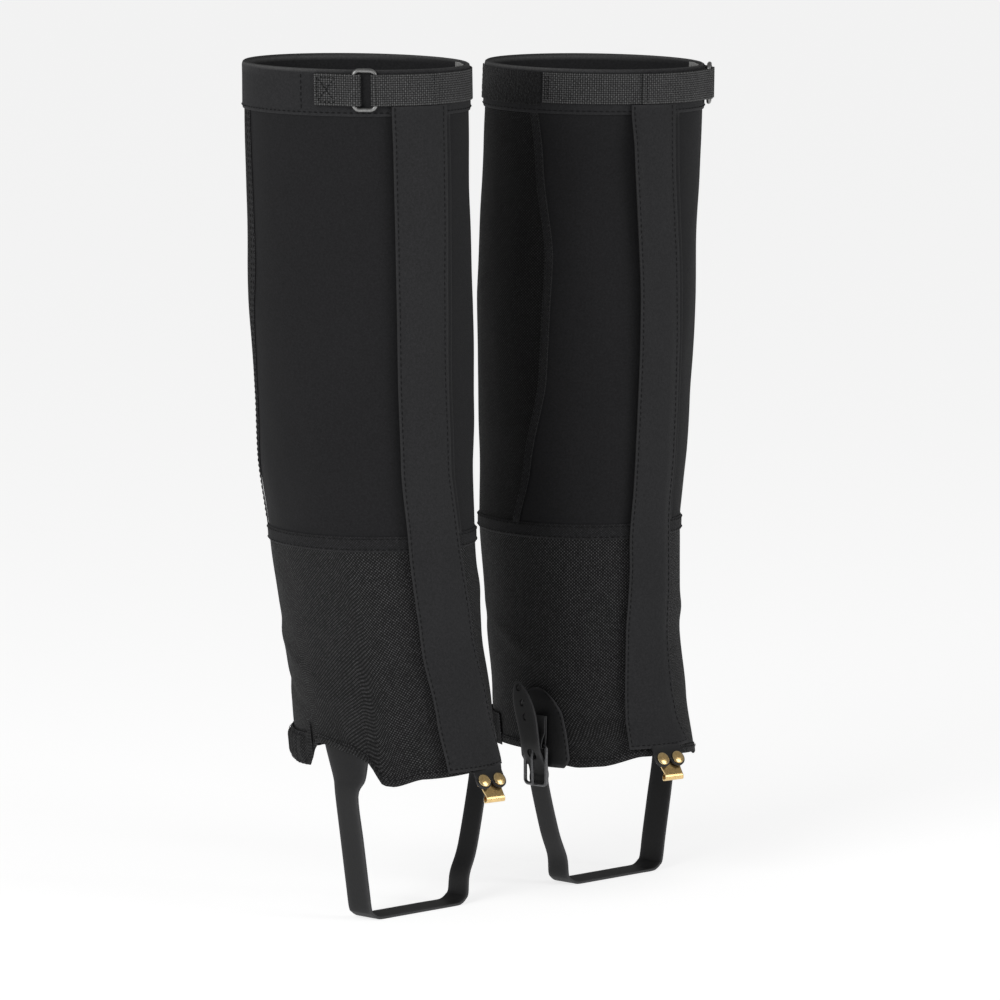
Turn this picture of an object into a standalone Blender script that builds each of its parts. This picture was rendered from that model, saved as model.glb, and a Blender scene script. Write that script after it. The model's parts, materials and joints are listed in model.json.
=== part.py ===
"""A pair of knee-high hiking gaiters, shaped as they are when worn.

Metres, +Z up, toes towards -Y. The wearer's right gaiter is at -X and the left one at +X.
The origin is the wearer's stance point, midway between the two under-foot straps and level
with their lowest faces. Angles run round each leg from the toe direction, positive
towards +X. Depths run down from the rim.
"""
import math

import bmesh
import bpy
from mathutils import Matrix, Vector

SIDES = {"right": -1, "left": 1}

# stance and sleeve
RIM_HEIGHT = {"right": 0.540, "left": 0.531}
RIM_SPREAD = 0.1078
RIM_TILT = 0.0015
SEAM_DEPTH = 0.298
HEM_DEPTH = 0.440
BAND_HEIGHT = 0.028
HALF_WIDTH = [(0.0, 0.0715), (0.15, 0.0703), (0.22, 0.068), (0.30, 0.0645), (0.37, 0.0620),
              (0.41, 0.0625), (0.45, 0.0640)]
FLATTENING = [(0.0, 0.0), (0.20, 0.02), (0.37, 0.08), (0.45, 0.09)]
INWARD_LEAN = [(0.0, 0.0), (0.15, 0.0054), (0.25, 0.009), (0.30, 0.0135), (0.386, 0.018),
               (0.50, 0.0185)]
FORWARD_LEAN = [(0.0, 0.0), (0.15, -0.002), (0.25, -0.0015), (0.30, 0.0), (0.36, 0.0055),
                (0.41, 0.013), (0.45, 0.019), (0.50, 0.021)]

# cloth and tape
CLOTH = 0.0008
TAPE = 0.0006
WEBBING = 0.0010
WEBBING_WIDTH = 0.020
RUBBER = 0.0016
EDGE_GAP = 0.5
STEP_ANGLE = 9.0
PANEL_LAYER = 0.0004
SEAM_LAYER = 0.0017
BAND_LAYER = 0.0018
BAND_INNER = 0.0012
STRAP_LAYER = 0.0034
PANEL_TOP = 0.0020
LOWER_PANEL_TOP = SEAM_DEPTH + 0.0008
LOWER_PANEL_RISE = 0.0012
SEAM_COVER = (0.004, 0.005)
HEM_TAPE_HEIGHT = 0.0075
SEAM_HALF_ANGLE = 2.6
FOLD_PATH = [(0.012, -BAND_INNER), (0.0008, -BAND_INNER), (-0.0006, 0.0003),
             (0.0008, BAND_LAYER), (BAND_HEIGHT, BAND_LAYER)]
BAND_TAPE_ENDS = (76.0, 140.0)
BAND_TAPE_DEPTHS = (0.0012, 0.0212)
BAND_TAPE_LAYER = 0.0029
FACING_ENDS = (38.0, 64.0)
FACING_DEPTHS = (0.0015, 0.018)
FACING_LAYER = -0.0026
HEEL_ENDS = (118.0, 242.0)
HEEL_HEIGHTS = (0.017, 0.001)
HEEL_LAYER = 0.0034
GATHER_HEIGHT = 0.0004
GATHERS = 24.0

# front closure
FLAP_SEWN = {"right": [(0.0, 8.4), (0.15, 8.4), (0.27, 10.0), (0.345, 16.0), (0.45, 26.0)],
             "left": [(0.0, 4.0), (0.15, 6.3), (0.234, 7.9), (0.316, 11.7), (0.357, 14.1),
                      (0.45, 17.4)]}
FLAP_FREE = {"right": [(0.0, -26.0), (0.30, -25.5), (0.37, -22.0), (0.45, -16.0)],
             "left": [(0.0, -25.0), (0.15, -15.0), (0.27, -13.0), (0.36, -21.0), (0.45, -23.0)]}
HOOK_TAPE_LAYER = 0.0028
FLAP_TOP = BAND_HEIGHT + 0.0015
FLAP_BOTTOM = 0.4385
FLAP_LAYER = 0.0040
FLAP_SEWN_LAYER = 0.0030
SLIT = 1.0
FLAP_SEAM_WIDTH = 5.0
FLAP_RISE_ANGLE = 12.0
TAPE_ANGLES = (2.0, 13.5)
TAPE_TOP = BAND_HEIGHT + 0.003
TAPE_BOTTOM = SEAM_DEPTH - 0.006

# calf panel, measured towards the inner side and round the back
CALF_INNER = [(0.0, 82.0), (0.06, 74.0), (0.12, 67.0), (0.20, 70.0), (0.26, 80.0),
              (0.298, 88.0)]
CALF_OUTER = [(0.0, 117.0), (0.12, 113.0), (0.22, 122.0), (0.298, 137.0)]

# top strap and ring
RING_ANGLE = 40.0
RING_WIDTH = 0.016
RING_HEIGHT = 0.0275
RING_WIRE = 0.0014
STUB_ANGLE = 64.0
STRAP_INNER_ANGLE = 73.0
TAIL_END = {"right": 1.0, "left": -21.0}
STRAP_TOP_DEPTH = 0.0012

# lace hook
TAB_ANGLE = {"right": 11.0, "left": 6.0}
TAB_TILT = 42.0
TAB_WIDTH = 0.025
RIVET_SPACING = 0.0118
RIVET_DROP = 0.0085
RIVET_POST = 0.0016
RIVET_CAP = 0.0044
HOOK_SHEET = 0.0010
HOLE_PLAY = 0.0004
TAB_CORNER = 0.001
# the hook plate's line, down from the hem and out from the tab, and its width at each point
HOOK_PATH = [(-0.0045, -0.0010), (-0.0165, -0.0010), (-0.0190, -0.0002), (-0.0222, 0.0006),
             (-0.0246, 0.0002), (-0.0262, -0.0014), (-0.0264, -0.0034), (-0.0252, -0.0050),
             (-0.0228, -0.0056), (-0.0195, -0.0052)]
HOOK_WIDTHS = [0.0175, 0.0175, 0.0125, 0.0118, 0.0135, 0.0145, 0.0145, 0.0140, 0.0125, 0.0100]

# under-foot strap
STRAP_FORWARD = 0.026
FOOT_STRAP_WIDTH = 0.022
FOOT_STRAP_END_WIDTH = 0.0185
FRAME_WIDTH = 0.0245
FRAME_DROP = 0.022
FRAME_WIRE = 0.0012
BAR_DEPTH = 0.4365
BAR_LAYER = 0.0074
PATCH_LAYER = 0.0028
FAN_BOTTOM = 0.459
ANCHOR_LAP = 0.010
LOOP_WIDTH = 0.016
PRONG_WIRE = 0.0009
BUCKLE_PLAY = 0.0004
SIDE_ANGLE = 80.0
BUCKLE_ANGLE = 83.0
PATCH_DEPTHS = (0.402, 0.4335)
PATCH_REACH = 20.0
PATCH_TIP = 4.0
FAN_TOP = 0.412
FAN_TOP_HALF = 0.021
FAN_LAYER = -0.0020
STRAP_LAP_GAP = 0.0018
PRONG_LINE = [(0.0026, -0.0030), (0.0034, -0.009), (0.0030, -0.016), (0.0026, -0.0235)]
# the strap's inner part as (height above the buckle's bar, distance out of the ankle)
STRAP_END_LINE = [(0.043, 0.0030), (0.030, 0.0034), (0.018, 0.0038), (0.008, 0.0046),
                  (0.001, 0.0050), (-0.004, 0.0040), (-0.009, 0.0012), (-0.014, -0.0018),
                  (-0.019, -0.0032), (-0.025, -0.0036)]
# and on under the arch as (distance from the leg's axis towards the outer side, height)
STRAP_INNER_LINE = [(-0.0520, 0.036), (-0.0450, 0.0190)]
ARCH_TURN = 0.034
ARCH_RADIUS = 0.0105
STRAP_MIDDLE_HEIGHT = 0.001
ARCH_SPOTS = (-0.022, -0.008, 0.008, 0.022)
STRAP_OUTER_SPOT = (0.0460, 0.022)
STRAP_TIP_WIDTHS = (0.004, 0.0150)
STRAP_BUCKLE_ROWS = 10
STRAP_HOLE = 0.0019
PRONG_HOLES = ((-0.0058, 0.0036), (-0.0030, 0.0030))


def table(points, value):
    """A smooth curve through (place, value) points, level beyond its ends."""
    if value <= points[0][0]:
        return points[0][1]
    for low, high in zip(points, points[1:]):
        if value <= high[0]:
            share = (value - low[0]) / (high[0] - low[0])
            blend = share * share * (3.0 - 2.0 * share)
            return low[1] + (high[1] - low[1]) * (0.5 * share + 0.5 * blend)
    return points[-1][1]


def lerp(low, high, share):
    return low + (high - low) * share


def leg_centre(side, depth):
    """The sleeve's axis at a depth below the rim, without its height."""
    return (SIDES[side] * (RIM_SPREAD - table(INWARD_LEAN, depth)), -table(FORWARD_LEAN, depth))


def skin(side, angle, depth, layer):
    """A point on the sleeve, layer metres outside the fabric's inner face."""
    turn = math.radians(angle)
    half = table(HALF_WIDTH, depth)
    flat = table(FLATTENING, depth)
    x, y = leg_centre(side, depth)
    tilt = RIM_TILT * math.cos(turn) * max(0.0, 1.0 - depth / 0.1)
    return Vector((x + (half * (1.0 - flat) + layer) * math.sin(turn),
                   y - (half * (1.0 + flat) + layer) * math.cos(turn),
                   RIM_HEIGHT[side] - depth - tilt))


def hem(side, angle):
    """Depth of the hem: it rises over the outer ankle, where the strap comes out."""
    away = ((angle - SIDES[side] * 98.0 + 180.0) % 360.0) - 180.0
    return HEM_DEPTH - 0.014 * math.exp(-(away / 26.0) ** 2)


def material(name, colour, roughness, metallic=0.0):
    found = bpy.data.materials.get(name)
    if found:
        return found
    made = bpy.data.materials.new(name)
    made.use_nodes = True
    shader = made.node_tree.nodes["Principled BSDF"]
    shader.inputs["Base Color"].default_value = (*colour, 1.0)
    shader.inputs["Roughness"].default_value = roughness
    shader.inputs["Metallic"].default_value = metallic
    return made


LOOKS = {
    "softshell": ((0.022, 0.022, 0.024), 0.85, 0.0),
    "flap_cloth": ((0.034, 0.034, 0.037), 0.85, 0.0),
    "oxford": ((0.018, 0.018, 0.019), 0.9, 0.0),
    "band_cloth": ((0.026, 0.026, 0.029), 0.85, 0.0),
    "webbing": ((0.06, 0.06, 0.062), 0.8, 0.0),
    "hook_and_loop": ((0.02, 0.02, 0.02), 1.0, 0.0),
    "thread_tape": ((0.03, 0.03, 0.032), 0.8, 0.0),
    "elastic": ((0.02, 0.02, 0.022), 0.9, 0.0),
    "rubber": ((0.018, 0.018, 0.019), 0.5, 0.0),
    "facing": ((0.45, 0.45, 0.45), 0.9, 0.0),
    "ring_metal": ((0.30, 0.30, 0.30), 0.35, 1.0),
    "buckle_metal": ((0.05, 0.05, 0.055), 0.35, 1.0),
    "brass": ((0.78, 0.55, 0.25), 0.25, 1.0),
}


def clear_scene():
    for item in list(bpy.data.objects):
        bpy.data.objects.remove(item, do_unlink=True)


def collection(name):
    made = bpy.data.collections.new(name)
    bpy.context.scene.collection.children.link(made)
    return made


def dress(item, look):
    item.data.materials.clear()
    item.data.materials.append(material(look, *LOOKS[look]))
    return item


def sheet(name, columns, rows, place, thickness, look):
    """A grid bent through place(across, down), both 0 to 1, and thickened about its middle."""
    mesh = bpy.data.meshes.new(name)
    form = bmesh.new()
    bmesh.ops.create_grid(form, x_segments=columns, y_segments=rows, size=0.5)
    for vert in form.verts:
        vert.co = place(vert.co.x + 0.5, 0.5 - vert.co.y)
    form.to_mesh(mesh)
    form.free()
    item = bpy.data.objects.new(name, mesh)
    parts.objects.link(item)
    solid = item.modifiers.new("thickness", "SOLIDIFY")
    solid.thickness = thickness
    solid.offset = 0.0
    solid.use_even_offset = True
    return dress(item, look)


def steps(low, high):
    """Enough columns for an arc of the sleeve."""
    return max(1, round(abs(high - low) / STEP_ANGLE))


def patch(name, side, first, last, top, bottom, layer, thickness, rows, look, columns=None):
    """A piece of the sleeve between two edge angles (functions of depth) and two depths
    (functions of angle)."""
    if columns is None:
        columns = steps(first(0.1), last(0.1))

    def place(across, down):
        angle = lerp(first(0.0), last(0.0), across)
        depth = lerp(top(angle), bottom(angle), down)
        angle = lerp(first(depth), last(depth), across)
        depth = lerp(top(angle), bottom(angle), down)
        return skin(side, angle, depth, layer(angle, depth))

    return sheet(name, columns, rows, place, thickness, look)


def flat(value):
    return lambda *_: value


def wire(name, points, radius, look, closed=False, resolution=1):
    """A round bar through the points, as a closed mesh with welded caps."""
    curve = bpy.data.curves.new(name, "CURVE")
    curve.dimensions = "3D"
    curve.bevel_depth = radius
    curve.bevel_resolution = resolution
    curve.use_fill_caps = True
    spline = curve.splines.new("POLY")
    spline.points.add(len(points) - 1)
    for spot, target in zip(spline.points, points):
        spot.co = (*target, 1.0)
    spline.use_cyclic_u = closed
    guide = bpy.data.objects.new(name + "_guide", curve)
    parts.objects.link(guide)
    bpy.context.view_layer.update()
    mesh = bpy.data.meshes.new_from_object(guide.evaluated_get(bpy.context.evaluated_depsgraph_get()))
    bpy.data.objects.remove(guide, do_unlink=True)
    form = bmesh.new()
    form.from_mesh(mesh)
    bmesh.ops.remove_doubles(form, verts=form.verts, dist=0.00002)
    bmesh.ops.recalc_face_normals(form, faces=form.faces)
    form.to_mesh(mesh)
    form.free()
    mesh.name = name
    item = bpy.data.objects.new(name, mesh)
    parts.objects.link(item)
    return dress(item, look)


def rounded_rectangle(width, height, radius, corner_points=3):
    """Outline points of a rectangle with round corners, anticlockwise from its right side."""
    spots = []
    for corner in range(4):
        centre_x = (width / 2 - radius) * (1 if corner in (0, 3) else -1)
        centre_y = (height / 2 - radius) * (1 if corner in (0, 1) else -1)
        for index in range(corner_points + 1):
            turn = math.radians(90.0 * corner + 90.0 * index / corner_points)
            spots.append((centre_x + radius * math.cos(turn), centre_y + radius * math.sin(turn)))
    return spots


def arc_points(centre, radius, start, end, count):
    """Points on an arc in a plane, angles in degrees."""
    spots = []
    for index in range(count + 1):
        turn = math.radians(lerp(start, end, index / count))
        spots.append((centre[0] + radius * math.cos(turn), centre[1] + radius * math.sin(turn)))
    return spots


def along(path, share):
    """The point at a share of the way through a list of path points, by index."""
    place = share * (len(path) - 1)
    index = min(int(place), len(path) - 2)
    return path[index].lerp(path[index + 1], place - index)


def cut(item, cutter):
    """Cut a tool body out of a piece; the tool stays hidden in its own collection."""
    cutter.hide_render = True
    cutter.display_type = "WIRE"
    for owner in list(cutter.users_collection):
        owner.objects.unlink(cutter)
    cutters.objects.link(cutter)
    hole = item.modifiers.new("hole", "BOOLEAN")
    hole.operation = "DIFFERENCE"
    hole.solver = "EXACT"
    hole.object = cutter


def drill(name, centre, axis, radius, length, sides=10):
    """A cylinder through a point along an axis."""
    mesh = bpy.data.meshes.new(name)
    form = bmesh.new()
    bmesh.ops.create_cone(form, cap_ends=True, segments=sides, radius1=radius, radius2=radius,
                          depth=length)
    turn = axis.to_track_quat("Z", "Y").to_matrix().to_4x4()
    form.transform(Matrix.Translation(centre) @ turn)
    form.to_mesh(mesh)
    form.free()
    item = bpy.data.objects.new(name, mesh)
    parts.objects.link(item)
    return item


# ---------------------------------------------------------------- sleeve

def sewn(side):
    return lambda depth: table(FLAP_SEWN[side], depth)


def free(side):
    return lambda depth: table(FLAP_FREE[side], depth)


def calf_edges(side):
    """First and last angle of the calf panel, going up in angle through the back."""
    way = SIDES[side]

    def inner(depth):
        return -way * table(CALF_INNER, depth)

    def outer(depth):
        return way * table(CALF_OUTER, depth)

    if way > 0:
        return outer, lambda depth: inner(depth) + 360.0
    return inner, lambda depth: outer(depth) + 360.0


def make_panels(side):
    start, end = calf_edges(side)
    sewn_edge = sewn(side)
    panel_top = flat(PANEL_TOP)
    panel_bottom = flat(SEAM_DEPTH)
    layer = flat(PANEL_LAYER)

    def right_first(depth):
        return sewn_edge(depth) + SLIT

    def right_last(depth):
        return start(depth) - EDGE_GAP

    def left_first(depth):
        return end(depth) - 360.0 + EDGE_GAP

    def left_last(depth):
        return sewn_edge(depth) - SLIT

    names = ("inner_panel", "outer_panel") if side == "right" else ("outer_panel", "inner_panel")
    patch(f"{side}_{names[0]}", side, right_first, right_last, panel_top, panel_bottom, layer,
          CLOTH, 6, "softshell")
    patch(f"{side}_{names[1]}", side, left_first, left_last, panel_top, panel_bottom, layer,
          CLOTH, 6, "softshell")
    patch(f"{side}_rear_panel", side, start, end, panel_top, panel_bottom, layer, CLOTH, 6,
          "oxford")

    def around(depth):
        return left_last(depth) + 360.0

    patch(f"{side}_lower_panel", side, right_first, around, flat(LOWER_PANEL_TOP),
          lambda angle: hem(side, angle) - LOWER_PANEL_RISE, layer, CLOTH, 4, "oxford")
    patch(f"{side}_seam_binding", side, right_first, around, flat(SEAM_DEPTH - SEAM_COVER[0]),
          flat(SEAM_DEPTH + SEAM_COVER[1]), flat(SEAM_LAYER), TAPE, 1, "thread_tape")
    patch(f"{side}_hem_binding", side, right_first, around,
          lambda angle: hem(side, angle) - HEM_TAPE_HEIGHT, lambda angle: hem(side, angle),
          flat(SEAM_LAYER), TAPE, 1, "thread_tape")
    seam_tapes(side, start, end)


def seam_tapes(side, start, end):
    """The two felled seams beside the calf panel."""
    names = ("inner", "outer") if side == "right" else ("outer", "inner")
    for name, edge in zip(names, (start, end)):
        patch(f"{side}_rear_seam_{name}", side, lambda depth, edge=edge: edge(depth) - SEAM_HALF_ANGLE,
              lambda depth, edge=edge: edge(depth) + SEAM_HALF_ANGLE, flat(BAND_HEIGHT + 0.001),
              flat(SEAM_DEPTH - 0.0050), flat(SEAM_LAYER), TAPE, 8, "thread_tape",
              columns=1)


def make_band(side):
    """The band folds over the rim: a short inner leg, the fold, and the outer face."""
    sewn_edge = sewn(side)

    def place(across, down):
        depth, layer = FOLD_PATH[round(down * (len(FOLD_PATH) - 1))]
        angle = sewn_edge(max(depth, 0.0)) + SLIT + (360.0 - 2.0 * SLIT) * across
        return skin(side, angle, depth, layer)

    sheet(f"{side}_top_band", 40, len(FOLD_PATH) - 1, place, TAPE, "band_cloth")
    way = SIDES[side]
    ends = sorted(-way * end for end in BAND_TAPE_ENDS)
    patch(f"{side}_band_loop_tape", side, flat(ends[0]), flat(ends[1]),
          flat(BAND_TAPE_DEPTHS[0]), flat(BAND_TAPE_DEPTHS[1]), flat(BAND_TAPE_LAYER), TAPE, 1, "hook_and_loop")
    patch(f"{side}_inner_facing", side, flat(FACING_ENDS[0]), flat(FACING_ENDS[1]),
          flat(FACING_DEPTHS[0]), flat(FACING_DEPTHS[1]), flat(FACING_LAYER), CLOTH, 1, "facing")


def make_flap(side):
    """The storm flap lifts from its sewn edge over the closure tapes."""
    sewn_edge, free_edge = sewn(side), free(side)

    def layer(angle, depth):
        lift = min(1.0, max(0.0, (sewn_edge(depth) - angle) / FLAP_RISE_ANGLE))
        return lerp(FLAP_SEWN_LAYER, FLAP_LAYER, lift * lift * (3.0 - 2.0 * lift))

    patch(f"{side}_front_flap", side, free_edge, sewn_edge, flat(FLAP_TOP),
          flat(FLAP_BOTTOM), layer, CLOTH, 9, "flap_cloth", columns=5)
    patch(f"{side}_flap_seam", side, lambda depth: sewn_edge(depth) + SLIT,
          lambda depth: sewn_edge(depth) + FLAP_SEAM_WIDTH, flat(FLAP_TOP), flat(SEAM_DEPTH - 0.005),
          flat(SEAM_LAYER), TAPE, 8, "flap_cloth", columns=1)
    patch(f"{side}_loop_tape", side, lambda depth: free_edge(depth) + TAPE_ANGLES[0],
          lambda depth: free_edge(depth) + TAPE_ANGLES[1], flat(TAPE_TOP),
          flat(TAPE_BOTTOM), flat(SEAM_LAYER), TAPE, 6, "hook_and_loop", columns=2)
    patch(f"{side}_hook_tape", side, lambda depth: free_edge(depth) + TAPE_ANGLES[0],
          lambda depth: free_edge(depth) + TAPE_ANGLES[1], flat(TAPE_TOP),
          flat(TAPE_BOTTOM), flat(HOOK_TAPE_LAYER), TAPE, 6, "hook_and_loop", columns=2)


def make_heel(side):
    """A gathered elastic casing over the back of the hem."""
    def layer(angle, depth):
        return HEEL_LAYER + GATHER_HEIGHT * math.cos(math.radians(angle * GATHERS))

    patch(f"{side}_heel_elastic", side, flat(HEEL_ENDS[0]), flat(HEEL_ENDS[1]),
          lambda angle: hem(side, angle) - HEEL_HEIGHTS[0], lambda angle: hem(side, angle) - HEEL_HEIGHTS[1], layer,
          TAPE, 2, "elastic", columns=16)


# ---------------------------------------------------------------- top strap and ring

def strap_depths():
    return STRAP_TOP_DEPTH, STRAP_TOP_DEPTH + WEBBING_WIDTH


def webbing(name, side, path):
    """A 20 mm band whose path is a list of (angle, layer) points, top to bottom edge."""
    top, bottom = strap_depths()

    def place(across, down):
        spot = along([Vector((angle, layer, 0.0)) for angle, layer in path], across)
        return skin(side, spot.x, lerp(top, bottom, down), spot.y)

    return sheet(name, len(path) - 1, 1, place, WEBBING, "webbing")


def degrees_for(length):
    """Angle at the rim for a short length round the sleeve."""
    return math.degrees(length / (HALF_WIDTH[0][1] + STRAP_LAYER))


def make_top_strap(side):
    way = SIDES[side]
    bar = degrees_for(RING_WIDTH / 2 - RING_WIRE)
    ring = way * RING_ANGLE
    turn_radius = RING_WIRE + 0.0004 + WEBBING / 2
    bar_layer = STRAP_LAYER + turn_radius
    bend = [(math.cos(math.radians(a)), math.sin(math.radians(a))) for a in
            (90, 60, 30, 0, -30, -60, -90)]

    # the stub's fold faces the front, the strap's fold faces the outer side
    outer_bar = ring + way * bar
    fold = [(outer_bar - way * degrees_for(turn_radius) * c, bar_layer - turn_radius * s)
            for c, s in bend]
    sewn_layer = STRAP_LAYER + WEBBING + 0.0004
    stub = [(way * STUB_ANGLE, STRAP_LAYER), (way * (STUB_ANGLE - 6.0), STRAP_LAYER)]
    stub += fold
    stub += [(outer_bar + way * 4.5, sewn_layer + 0.0012), (way * (STUB_ANGLE - 6.0), sewn_layer),
             (way * STUB_ANGLE, sewn_layer)]
    webbing(f"{side}_strap_stub", side, stub)

    inner_bar = ring - way * bar
    fold = [(inner_bar + way * degrees_for(turn_radius) * c, bar_layer - turn_radius * s)
            for c, s in bend]
    start = -way * STRAP_INNER_ANGLE
    spans = steps(start, inner_bar)
    strap = [(lerp(start, inner_bar - way * 5.0, index / spans), STRAP_LAYER)
             for index in range(spans + 1)]
    webbing(f"{side}_top_strap", side, strap + fold)

    tail_start = inner_bar - way * 0.8
    tail_stop = way * TAIL_END[side]
    spans = steps(tail_start, tail_stop)
    tail = [(tail_start, bar_layer + turn_radius), (tail_start - way * 4.0, sewn_layer + 0.0016)]
    tail += [(lerp(tail_start - way * 9.0, tail_stop, index / spans), sewn_layer + 0.0003)
             for index in range(spans + 1)]
    webbing(f"{side}_strap_tail", side, tail)
    make_ring(side, ring, bar_layer)


def make_ring(side, ring, layer):
    middle = STRAP_TOP_DEPTH + WEBBING_WIDTH / 2
    outline = rounded_rectangle(RING_WIDTH - 2 * RING_WIRE, RING_HEIGHT - 2 * RING_WIRE, 0.0032)
    spots = [skin(side, ring + degrees_for(x), middle - y, layer) for x, y in outline]
    wire(f"{side}_strap_ring", spots, RING_WIRE, "ring_metal", closed=True)


# ---------------------------------------------------------------- lace hook

def tab_frame(side):
    """Origin at the flap's hem; local X across, Y up the tab, Z out of its face."""
    angle = TAB_ANGLE[side]
    origin = skin(side, angle, FLAP_BOTTOM + 0.0013, FLAP_LAYER - 0.0010)
    turn = math.radians(angle)
    across = Vector((math.cos(turn), math.sin(turn), 0.0))
    tilt = math.radians(TAB_TILT)
    outward = Vector((math.sin(turn), -math.cos(turn), 0.0))
    up = Vector((0.0, 0.0, 1.0)) * math.cos(tilt) - outward * math.sin(tilt)
    normal = across.cross(up)
    return Matrix.Translation(origin) @ Matrix((across, up, normal)).transposed().to_4x4()


def place_in(item, frame):
    item.matrix_world = frame
    return item


def plate(name, outline, thickness, look):
    """A flat outline, thickened upwards from local z = 0, as a welded mesh."""
    curve = bpy.data.curves.new(name, "CURVE")
    curve.dimensions = "2D"
    curve.fill_mode = "BOTH"
    curve.extrude = thickness / 2
    spline = curve.splines.new("POLY")
    spline.points.add(len(outline) - 1)
    for spot, target in zip(spline.points, outline):
        spot.co = (target[0], target[1], 0.0, 1.0)
    spline.use_cyclic_u = True
    guide = bpy.data.objects.new(name + "_guide", curve)
    parts.objects.link(guide)
    bpy.context.view_layer.update()
    mesh = bpy.data.meshes.new_from_object(guide.evaluated_get(bpy.context.evaluated_depsgraph_get()))
    bpy.data.objects.remove(guide, do_unlink=True)
    form = bmesh.new()
    form.from_mesh(mesh)
    bmesh.ops.remove_doubles(form, verts=form.verts, dist=0.00001)
    bmesh.ops.recalc_face_normals(form, faces=form.faces)
    bmesh.ops.translate(form, verts=form.verts, vec=(0.0, 0.0, thickness / 2))
    form.to_mesh(mesh)
    form.free()
    mesh.name = name
    item = bpy.data.objects.new(name, mesh)
    parts.objects.link(item)
    return dress(item, look)


def tab_outline():
    """Square at the hem, scalloped round the two rivets at the bottom."""
    half = TAB_WIDTH / 2
    spots = [(half - TAB_CORNER, 0.0), (-half + TAB_CORNER, 0.0)]
    spots += arc_points((-RIVET_SPACING / 2, -RIVET_DROP), half - RIVET_SPACING / 2, 170, 285, 5)
    spots += arc_points((RIVET_SPACING / 2, -RIVET_DROP), half - RIVET_SPACING / 2, 255, 370, 5)
    return spots


def rivet_centres():
    return [Vector((way * RIVET_SPACING / 2, -RIVET_DROP, 0.0)) for way in (-1, 1)]


def make_hook(side):
    frame = tab_frame(side)
    normal = frame.to_3x3() @ Vector((0.0, 0.0, 1.0))
    tab = place_in(plate(f"{side}_hook_tab", tab_outline(), RUBBER, "rubber"), frame)

    def place(across, down):
        index = round(down * (len(HOOK_PATH) - 1))
        return frame @ Vector(((across - 0.5) * HOOK_WIDTHS[index], *HOOK_PATH[index]))

    hook = sheet(f"{side}_lace_hook", 4, len(HOOK_PATH) - 1, place, HOOK_SHEET, "brass")
    for index, spot in enumerate(rivet_centres()):
        for piece in (tab, hook):
            tool = drill(f"{piece.name}_hole_{index}", frame @ spot, normal,
                         RIVET_POST + HOLE_PLAY, 0.010)
            cut(piece, tool)
    make_rivets(side, frame)


def make_rivets(side, frame):
    """Each rivet is a turned body: domed cap, post, and set head behind the hook plate."""
    top = RUBBER + 0.0003
    back = -0.0010 - HOOK_SHEET / 2 - 0.0003
    profile = [(0.0, top + 0.0016), (RIVET_CAP * 0.55, top + 0.0014), (RIVET_CAP * 0.9, top + 0.0009),
               (RIVET_CAP, top + 0.0003), (RIVET_CAP * 0.97, top), (RIVET_POST, top),
               (RIVET_POST, back), (0.0030, back), (0.0028, back - 0.0007), (0.0, back - 0.0009)]
    for name, spot in zip(("a", "b"), rivet_centres()):
        mesh = bpy.data.meshes.new(f"{side}_hook_rivet_{name}")
        mesh.from_pydata([(r, 0.0, z) for r, z in profile],
                         [(i, i + 1) for i in range(len(profile) - 1)], [])
        item = bpy.data.objects.new(mesh.name, mesh)
        parts.objects.link(item)
        turn = item.modifiers.new("turn", "SCREW")
        turn.steps = 14
        turn.render_steps = 14
        turn.use_merge_vertices = True
        turn.merge_threshold = 0.00001
        dress(item, "brass")
        item.matrix_world = frame @ Matrix.Translation(spot)


# ---------------------------------------------------------------- under-foot strap

def strap_plane(side):
    """Y of the strap's middle."""
    return -STRAP_FORWARD


def buckle_origin(side):
    """Middle of the buckle's upper bar, on the inner side of the ankle."""
    way = SIDES[side]
    touch = skin(side, -way * BUCKLE_ANGLE, BAR_DEPTH, BAR_LAYER)
    return Vector((touch.x, strap_plane(side), touch.z))


def buckle_place(side, out, along_y, up):
    """A point by its distance out of the ankle, forward and up from the upper bar."""
    origin = buckle_origin(side)
    return origin + Vector((-SIDES[side] * out, along_y, up))


def make_buckle(side):
    outline = rounded_rectangle(FRAME_WIDTH - 2 * FRAME_WIRE, FRAME_DROP, 0.0026, 2)
    spots = [buckle_place(side, 0.0, x, y - FRAME_DROP / 2) for x, y in outline]
    wire(f"{side}_buckle_frame", spots, FRAME_WIRE, "buckle_metal", closed=True)

    # the loop: inner leg, fold under the bar, outer leg closing back on the inner one
    fold_radius = FRAME_WIRE + BUCKLE_PLAY + TAPE / 2
    path = [(-0.0026, 0.017), (-0.0026, 0.008), (-0.0024, 0.004)]
    path += [(-fold_radius * math.cos(math.radians(a)), -fold_radius * math.sin(math.radians(a)))
             for a in (0, 30, 60, 90, 120, 150, 180)]
    path += [(0.0010, 0.004), (-0.0012, 0.008), (-0.0016, 0.017)]

    def place(across, down):
        index = round(down * (len(path) - 1))
        return buckle_place(side, path[index][0], (across - 0.5) * LOOP_WIDTH, path[index][1])

    loop = sheet(f"{side}_buckle_loop", 2, len(path) - 1, place, TAPE, "rubber")
    slot = drill(f"{side}_prong_slot", buckle_place(side, 0.0, 0.0, 0.0),
                 Vector((0.0, 1.0, 0.0)), 0.0044, 0.0034, 12)
    cut(loop, slot)

    eye = FRAME_WIRE + BUCKLE_PLAY + PRONG_WIRE
    prong = [buckle_place(side, eye * math.cos(math.radians(a)), 0.0, eye * math.sin(math.radians(a)))
             for a in (240, 200, 160, 120, 80, 40, 0)]
    prong += [buckle_place(side, out, 0.0, up) for out, up in PRONG_LINE]
    wire(f"{side}_buckle_prong", prong, PRONG_WIRE, "buckle_metal")


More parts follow.
